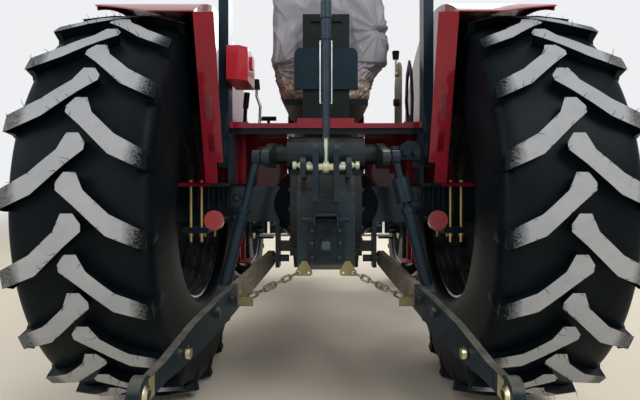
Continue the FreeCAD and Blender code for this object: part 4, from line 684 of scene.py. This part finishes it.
def around_axle(centre, across, angle, radius):
    """Places on a wheel: angle 0 is its rearmost point and 90 degrees its top."""
    return np.stack([centre[0] + across, centre[1] - radius * np.cos(angle),
                     centre[2] + radius * np.sin(angle)], -1)


def sidewall_relief(across, radius, angle, carcass):
    """Raised rings and short spokes moulded on the flanks."""
    share = (radius - carcass.bead) / (carcass.base - carcass.bead)
    flank = np.abs(across) > carcass.bead_half * 0.9
    rings = sum(height * np.exp(-((share - place) / width) ** 2) for place, width, height in FLANK_RINGS)
    spokes = 0.0012 * (np.cos(angle * 60) > 0.3) * (np.abs(share - 0.40) < 0.035)
    return np.where(flank, rings + spokes, 0.0)


def tyre(place, side_name, rim_radius, rim_width, scale, lug_height, lug_count, turn, steps):
    """A carcass grid, two rows of bars lofted through offset rings, and moulding hairs."""
    node = f"{place}_tyre_{side_name}"
    centre = middle(node)
    half, _, radius = size(node) / 2
    carcass = Carcass(radius, lug_height, rim_radius, half * FLANK_SHARE, rim_width / 2 - BEAD_INSET)
    shape = Shape()
    profile = carcass.profile(14)
    angle = np.arange(steps) * 2 * math.pi / steps
    across, around = np.meshgrid(profile[:, 0], angle, indexing="ij")
    level = np.repeat(profile[:, 1:], steps, 1)
    relief = sidewall_relief(across, level, around, carcass)
    inside = -1 if centre[0] > 0 else 1
    shape.grid(around_axle(centre, across + np.sign(across) * relief, around, level), round_columns=True)
    rng = np.random.default_rng(7 if centre[0] > 0 else 8)
    pitch = 2 * math.pi / lug_count
    for side in (1, -1):
        phase = turn + (0 if side == inside else pitch / 2)
        phases = phase + np.arange(lug_count) * pitch
        row = (shape, centre, carcass, scale, side, phases)
        bars(*row)
        buttresses(*row)
        hairs(rng, *row)
    made = piece(f"{node}_dressed", shape, RUBBER, f"{place}_wheel_{side_name}", crease=35)
    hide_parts(node)
    return made


def tread_radius(carcass, across):
    """The bars' tops: level over the middle half, then a straight fall to the tyre's widest line."""
    share = np.clip(np.abs(across) / carcass.half * 2 - 1, 0, 1)
    return carcass.top - carcass.lug_height * CROWN * share


def bars(shape, centre, carcass, scale, side, phases):
    """One row of bars: each ring of its outline is pushed out by less and lifted by more; a grid caps it."""
    leading, trailing = bar_edges(scale, 3)
    share = np.linspace(0, 1, BAR_STEPS + 1)[1:-1, None]
    outer_end = leading[-1] * (1 - share) + trailing[-1] * share
    head_end = trailing[0] * (1 - share) + leading[0] * share
    loop = np.concatenate([leading, outer_end, trailing[::-1], head_end])
    rows, marks = [], []
    for push, share_up, mark in BAR_RINGS:
        plan = pushed_out(loop, push * scale * MM)
        low = carcass.radius_at(plan[:, 0])
        rows.append(np.column_stack([plan, low + share_up * (tread_radius(carcass, plan[:, 0]) - low)]))
        marks.append(np.full(len(plan), mark))
    top = pushed_out(loop, BAR_RINGS[-1][0] * scale * MM)
    count = len(leading)
    top_leading = top[:count]
    top_trailing = top[count + BAR_STEPS - 1:2 * count + BAR_STEPS - 1][::-1]
    fill = np.linspace(0, 1, BAR_STEPS + 1)[None, :, None]
    cap = top_leading[:, None] * (1 - fill) + top_trailing[:, None] * fill
    cap_level = tread_radius(carcass, cap[..., 0])
    # Bar tops darken towards their outer ends, deepest on the row facing the tractor's middle: painted shade.
    deepest_end_shade = 0.25 if side * centre[0] < 0 else 0.6
    fade = np.clip((0.2 * scale - np.abs(cap[..., 0])) / 0.06, deepest_end_shade, 1)
    for phase in phases:
        plan = np.array(rows)
        angle = phase + plan[..., 1] / carcass.top
        points = around_axle(centre, side * plan[..., 0], angle, plan[..., 2])
        wound = points if side > 0 else points[:, ::-1]
        shape.grid(wound, round_columns=True, mark=np.array(marks).ravel())
        lid = around_axle(centre, side * cap[..., 0], phase + cap[..., 1] / carcass.top, cap_level)
        lid = lid if side < 0 else lid[:, ::-1]
        shape.grid(lid, mark=fade.ravel())


def buttresses(shape, centre, carcass, scale, side, phases):
    """Where a bar ends, its shape runs on down the flank: a strip that sinks into the flank as it narrows."""
    first, last = (edge[-1][1] * scale * MM / carcass.top for edge in (LEADING, TRAILING))
    reach = LEADING[-1][0] * scale * MM
    share = np.linspace(0, 1, 8)
    start = tread_radius(carcass, reach) - 0.003
    level = start - share * (start - carcass.middle) * 0.55
    high = np.clip((level - carcass.middle) / (carcass.base - carcass.middle), 0, 1)
    flank = carcass.half * (1 - high ** SHOULDER_POWER) ** (1 / SHOULDER_POWER)
    flank = np.maximum(flank, reach - 0.014)
    rise = (reach + 0.002 - flank[0]) * (1 - share) ** 1.3
    out = flank + rise
    narrow = (first - last) * 0.10 * share
    for phase in phases:
        rows = []
        for i in range(len(share)):
            corners = [(flank[i] - 0.012, first + 0.006), (out[i] - 0.002, first - narrow[i]),
                       (out[i], first * 0.75 + last * 0.25), (out[i], first * 0.25 + last * 0.75),
                       (out[i] - 0.002, last + narrow[i]), (flank[i] - 0.012, last - 0.006)]
            rows.append([(side * across, angle, level[i]) for across, angle in corners])
        rows = np.array(rows)
        points = around_axle(centre, rows[..., 0], phase + rows[..., 1], rows[..., 2])
        shape.grid(points if side > 0 else points[:, ::-1], mark=0.05)


def hairs(rng, shape, centre, carcass, scale, side, phases):
    """Vent hairs: thin bent spikes that stand on the bars' edges and on the shoulders."""
    edges = bar_edges(scale, 4)
    for phase in phases:
        picks = [rng.choice(len(edge), HAIRS_ON_EDGE, False) for edge in edges]
        for edge, chosen in zip(edges, picks):
            for at in edge[chosen]:
                angle = phase + at[1] / carcass.top
                if centre[2] + carcass.top * math.sin(angle) > HAIR_CLEAR:
                    hair(shape, rng, centre, side * at[0], angle, tread_radius(carcass, at[0]), scale)


def hair(shape, rng, centre, across, angle, level, scale):
    """One hair: a tapered three-sided spike that leans and curls."""
    length = rng.uniform(0.010, 0.022) * (0.6 + 0.4 * scale)
    lean = rng.normal(0, 0.35, 2)
    share = np.array([-0.1, 0.35, 0.7, 1.0])
    bend = share ** 2 * length
    path = around_axle(centre, across + lean[0] * bend, angle + lean[1] * bend / level,
                       level + share * length)
    tube(shape, path, np.array([0.0011, 0.0009, 0.0007, 0.0004]), 3, mark=0.35)


def tyres():
    """All four: rim radius and width, bars' scale and height, bars in a row, first bar's angle, steps."""
    for side in ("left", "right"):
        tyre("rear", side, 0.381, 0.330, 1.0, 0.036, 21, math.radians(8.0), 252)
        tyre("front", side, 0.254, 0.214, FRONT_SHARE, 0.028, 18, 0.0, 216)


# Seat in its wrap

def smooth_noise(points, scale, seed):
    """Sum of a few sine waves in random directions: smooth, repeatable unevenness between -1 and 1."""
    rng = np.random.default_rng(seed)
    total = np.zeros(points.shape[:-1])
    for octave, weight in ((1.0, 0.5), (1.9, 0.3), (3.7, 0.2)):
        for _ in range(3):
            way = rng.normal(size=3)
            way /= np.linalg.norm(way)
            total += weight / 1.7 * np.sin((points @ way) * scale * octave + rng.uniform(0, 6.28))
    return total


def eased(run, known, values):
    """Straight-line interpolation softened by a running mean over a share of the run."""
    offsets = np.linspace(-0.035, 0.035, 9)
    return np.mean([np.interp(run + o, known, values) for o in offsets], 0)


# The seat from its underside up the front of the cushion, back over it and up the backrest, in mm:
# share of the way, height over the pan, front face behind the pan's back edge, back face, half width.
SEAT_RUN = np.array([
    (0.00, 0, 440, 14, 96), (0.04, 4, 505, 8, 150), (0.14, 52, 516, 1, 178), (0.22, 98, 519, 0, 192),
    (0.30, 134, 500, 0, 200), (0.36, 150, 440, 0, 204), (0.52, 152, 200, 0, 206), (0.58, 180, 160, 0, 206),
    (0.72, 330, 136, 0, 206), (0.86, 480, 116, 0, 196), (0.94, 538, 92, 10, 166), (0.98, 556, 66, 24, 120),
    (1.00, 559, 45, 38, 40)])


def seat_point(share, turn, grow):
    """A place on the seat's skin: at each share of the run a rounded oblong, swept once by turn.
    grow moves the skin outwards, in metres."""
    low, high = (np.array(v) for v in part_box("seat"))
    up, front, back, half = (eased(share, SEAT_RUN[:, 0], SEAT_RUN[:, i]) * MM for i in (1, 2, 3, 4))
    middle_y = low[1] + (front + back) / 2
    deep = np.maximum((front - back) / 2, 0.002) + grow
    wide = np.maximum(half, 0.002) + grow
    square = 0.55
    c, s = np.cos(turn), np.sin(turn)
    x = np.sign(c) * np.abs(c) ** square * wide
    y = middle_y + np.sign(s) * np.abs(s) ** square * deep
    z = low[2] + up + grow * np.clip(share * 4 - 3, 0, 1) + 0 * turn
    return np.stack([x, y, z], -1)


def seat_cushions():
    """The vinyl seat: crowned panels with a sewn groove across the cushion and round the backrest."""
    shape = Shape()
    rows, columns = 110, 140
    share = np.linspace(0, 1, rows)[:, None]
    turn = np.linspace(0, 2 * math.pi, columns, endpoint=False)[None, :]
    points = seat_point(share, turn, -0.012)
    inner = seat_point(share, turn, -0.020)
    across = points[..., 0]
    groove = np.exp(-((np.abs(across) - 0.120) / 0.006) ** 2)
    groove = np.maximum(groove, np.exp(-((points[..., 2] - points[0, 0, 2] - 0.30) / 0.006) ** 2))
    points = points + (inner - points) * groove[..., None]
    shape.grid(points, round_columns=True)
    shape.cap(0, columns, flip=True)
    shape.cap((rows - 1) * columns, columns)
    made = piece("seat_cushions", shape, VINYL, "root")
    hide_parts("seat")
    swell(made, 0.006, 0.007)
    return made


def swell(cushion, voxel, limit):
    """Blows a cushion up a little as cloth under pressure, capped at limit, and keeps the result."""
    scene = bpy.context.scene
    remesh = cushion.modifiers.new("voxels", "REMESH")
    remesh.mode = "VOXEL"
    remesh.voxel_size = voxel
    remesh.use_smooth_shade = True
    keep_modifiers(cushion)
    before = coordinates(cushion)
    cloth = cushion.modifiers.new("cloth", "CLOTH")
    cloth.settings.use_pressure = True
    cloth.settings.uniform_pressure_force = 4
    cloth.settings.effector_weights.gravity = 0
    for step in range(1, 15):
        scene.frame_set(step)
    keep_modifiers(cushion)
    moved = coordinates(cushion) - before
    far = np.linalg.norm(moved, axis=1, keepdims=True)
    held = before + moved * np.minimum(1, limit / np.maximum(far, 1e-9))
    cushion.data.vertices.foreach_set("co", held.astype(np.float32).ravel())
    scene.frame_set(1)
    cushion.data.update()


def coordinates(made):
    """A mesh's vertices as an array."""
    flat = np.empty(len(made.data.vertices) * 3, np.float32)
    made.data.vertices.foreach_get("co", flat)
    return flat.reshape(-1, 3).astype(float)


def keep_modifiers(made):
    """Turns what the modifiers give into the piece's own mesh."""
    graph = bpy.context.evaluated_depsgraph_get()
    mesh = bpy.data.meshes.new_from_object(made.evaluated_get(graph))
    made.modifiers.clear()
    made.data = mesh


# How far the film's edge stands out on each side, seen from behind, in mm: (height over the pan, half width).
FILM_RIGHT = np.array([
    (-20, 60), (13, 96), (37, 141), (57, 160), (93, 167), (134, 201), (194, 234), (247, 246), (272, 236),
    (279, 206), (287, 222), (300, 247), (355, 234), (400, 218), (470, 206), (530, 180), (562, 60)])
FILM_LEFT = np.array([
    (-20, 60), (2, 105), (33, 140), (57, 169), (97, 181), (118, 186), (126, 210), (136, 188), (158, 187),
    (215, 196), (267, 201), (333, 205), (400, 196), (470, 200), (530, 178), (562, 60)])
# Places the film is gathered at, seen from behind: X and height in metres. Folds run out from each.
GATHERS = [(0.212, 1.441), (-0.02, 1.73), (-0.20, 1.29)]


def pulls(points):
    """Long shallow folds that run out from each gather: a wave over the angle round it, fading far away."""
    total = np.zeros(points.shape[:-1])
    for number, (x, z) in enumerate(GATHERS):
        across, up = points[..., 0] - x, points[..., 2] - z
        far = np.hypot(across, up)
        wave = 1 - np.abs(np.sin(np.arctan2(up, across) * (7 + number) + number)) * 1.6
        total += 0.0055 * np.clip(wave, -0.4, 1) * np.exp(-((far - 0.09) / 0.11) ** 2)
    return total


def seat_wrap():
    """The film bag over the seat: the seat's skin moved out, its side edges led by the two outlines above,
    with broad pulls, sharp creases where two waves cross, and a crumpled gather along its lower edge."""
    shape = Shape()
    rows, columns = 190, 300
    share = np.linspace(0.03, 0.998, rows)[:, None]
    turn = np.linspace(0, 2 * math.pi, columns, endpoint=False)[None, :]
    points = seat_point(share, turn, 0.009)
    inner = seat_point(share, turn, 0.0)
    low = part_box("seat")[0]
    up = (points[..., 2] - low[2]) / MM
    rearward = np.clip((low[1] + 0.30 - points[..., 1]) / 0.22, 0, 1)
    for side, outline in ((1, FILM_RIGHT), (-1, FILM_LEFT)):
        wanted = np.interp(up, outline[:, 0], outline[:, 1]) * MM
        own = np.interp(up, FILM_LEFT[:, 0], np.minimum(FILM_LEFT[:, 1], 204)) * MM
        edge = np.clip(side * points[..., 0] / 0.20, 0, 1) ** 3
        points[..., 0] += side * np.maximum(wanted - own, -0.02) * edge * rearward
    out = points - inner
    out /= np.linalg.norm(out, axis=-1, keepdims=True) + 1e-9
    broad = smooth_noise(points * [1, 1, 0.35], 20, 3)
    crease = 1 - np.abs(smooth_noise(points * [1, 1, 0.40], 30, 9)) * 2.6
    crease = np.clip(crease, 0, 1) ** 2
    crumple = 1 - np.abs(smooth_noise(points, 130, 21)) * 2
    low_edge = np.clip((170 - up) / 150, 0, 1)
    push = 0.008 * broad + 0.007 * crease + (0.0008 + 0.007 * low_edge) * crumple + 0.003
    push += pulls(points)
    points = points + out * push[..., None]
    shape.grid(points, round_columns=True, mark=low_edge.ravel())
    shape.cap((rows - 1) * columns, columns)
    made = piece("seat_wrap", shape, FILM, "root")
    return made


# Small fittings

# The drum's flange bolts: how many, and their distance from the tractor's middle and from the axle.
FLANGE_BOLTS = 14
FLANGE_X = 0.136
FLANGE_RADIUS = 0.169
# X of the bosses on the axle arms, and each boss's (distance behind the axle, height over it).
ARM_BOSS = 0.358
ARM_BOLTS = ((0.080, -0.054), (0.057, 0.026))
# Places of the take-off cover's bolts from its shaft, in mm, with the cover's face and the shaft's height.
COVER_BOLTS = [(-45, 40), (45, 40), (-46, -1), (46, -1), (-44, -47), (44, -47)]
COVER_BACK = 0.435
SHAFT_Z = 0.622


def housing_bolts():
    """Painted hexagon heads round the drum's flanges, on the axle arms and on the take-off cover."""
    shape = Shape()
    y, z = REAR_AXLE[1], REAR_AXLE[2]
    for side in (-1, 1):
        for turn in np.arange(FLANGE_BOLTS) * 2 * math.pi / FLANGE_BOLTS + 0.1:
            at = (side * FLANGE_X, y + FLANGE_RADIUS * math.cos(turn), z + FLANGE_RADIUS * math.sin(turn))
            bolt(shape, at, (side, 0, 0), 0.016, washer=False)
        for back, up in ARM_BOLTS:
            bolt(shape, (side * ARM_BOSS, y - back, z + up), (0, -1, 0), 0.021)
    for x, up in COVER_BOLTS:
        bolt(shape, (x * MM, y - COVER_BACK, SHAFT_Z + up * MM), (0, -1, 0), 0.012, washer=False)
    piece("housing_bolts", shape, BOLT_PAINT, "root", crease=30)


# The stage

# The photograph's width in pixels, and where its camera stood: behind the rear axle and over it.
PHOTO_WIDTH = 640
CAMERA_BACK = 2.0
CAMERA_UP = 0.057
LAMP_AIM = np.array([0, -0.4, 0.9])
# Each lamp: name, place, power and side in metres.
LAMPS = (("key", (2.6, -4.6, 4.2), 150, 2.6), ("fill", (-3.4, -3.4, 2.4), 60, 2.6),
         ("front", (1.5, 5.5, 5.0), 220, 3.5))


def set_camera():
    """The photograph's camera: level, facing forward, with its shift in the photograph's pixels."""
    data = bpy.data.cameras.new("camera")
    data.lens = 27.0
    data.sensor_width = 36.0
    data.shift_x = -6 / PHOTO_WIDTH
    data.shift_y = -10 / PHOTO_WIDTH
    data.clip_start = 0.05
    data.clip_end = 200
    camera = stood("camera", data)
    camera.location = (0.0, REAR_AXLE[1] - CAMERA_BACK, REAR_AXLE[2] + CAMERA_UP)
    camera.rotation_euler = (math.pi / 2, 0, 0)
    bpy.context.scene.camera = camera


def seen_by(tree, *kinds):
    """One where a ray of those kinds looks, nothing where light is gathered."""
    rays = put(tree, "LightPath").outputs
    seen = rays[f"Is {kinds[0]} Ray"]
    for kind in kinds[1:]:
        seen = times(tree, seen, rays[f"Is {kind} Ray"], "MAXIMUM")
    return seen


def lay_floor():
    """A flat pale floor that fades into the surround's colour between 6 m and 22 m from the middle."""
    line = np.linspace(-60.0, 60.0, 9)
    x, y = np.meshgrid(line, line, indexing="ij")
    points = np.stack([x, y, 0 * x], -1)
    mesh = bpy.data.meshes.new("floor")
    mesh.from_pydata(points.reshape(-1, 3).tolist(), [], grid_faces(9, 9, False).tolist())
    material, tree, shader = material_of("floor_surface", 0.9)
    tone = patches(tree, 1.5, 0.2, 0.8)
    feed(shader, "Base Color", mix(tree, tone, (0.74, 0.66, 0.53), (0.82, 0.74, 0.60)))
    far = put(tree, "VectorMath", operation="LENGTH", i0=place_on(tree)).outputs["Value"]
    fade = times(tree, spread(tree, far, 6.0, 22.0), seen_by(tree, "Camera", "Glossy"))
    glow = put(tree, "Emission", Color=(*SURROUND, 1.0), Strength=1.0)
    blend = put(tree, "MixShader", i0=fade, i1=shader.outputs[0], i2=glow.outputs[0])
    tree.links.new(blend.outputs[0], tree.nodes["Material Output"].inputs["Surface"])
    mesh.materials.append(material)
    floor = stood("floor", mesh)


def hang_lamps():
    """Large soft lamps that all look at the tractor's middle."""
    for name, at, power, side in LAMPS:
        light = bpy.data.lights.new(name, "AREA")
        light.energy = power
        light.size = side
        lamp = stood(name, light)
        lamp.location = at
        lamp.rotation_mode = "QUATERNION"
        lamp.rotation_quaternion = Vector(LAMP_AIM - np.array(at)).to_track_quat("-Z", "Y")


def set_surround():
    """A plain pale surround that gives less light than it shows."""
    world = bpy.data.worlds.new("surround")
    world.use_nodes = True
    bpy.context.scene.world = world
    background = world.node_tree.nodes["Background"]
    background.inputs["Color"].default_value = (*SURROUND, 1.0)
    seen = seen_by(world.node_tree, "Camera", "Glossy", "Transmission")
    feed(background, "Strength", spread(world.node_tree, seen, 0.0, 1.0, 0.62, 1.0))
    bpy.context.scene.view_settings.view_transform = "Standard"


set_camera()
lay_floor()
hang_lamps()
set_surround()
dress_nodes()
tyres()
seat_cushions()
seat_wrap()
housing_bolts()
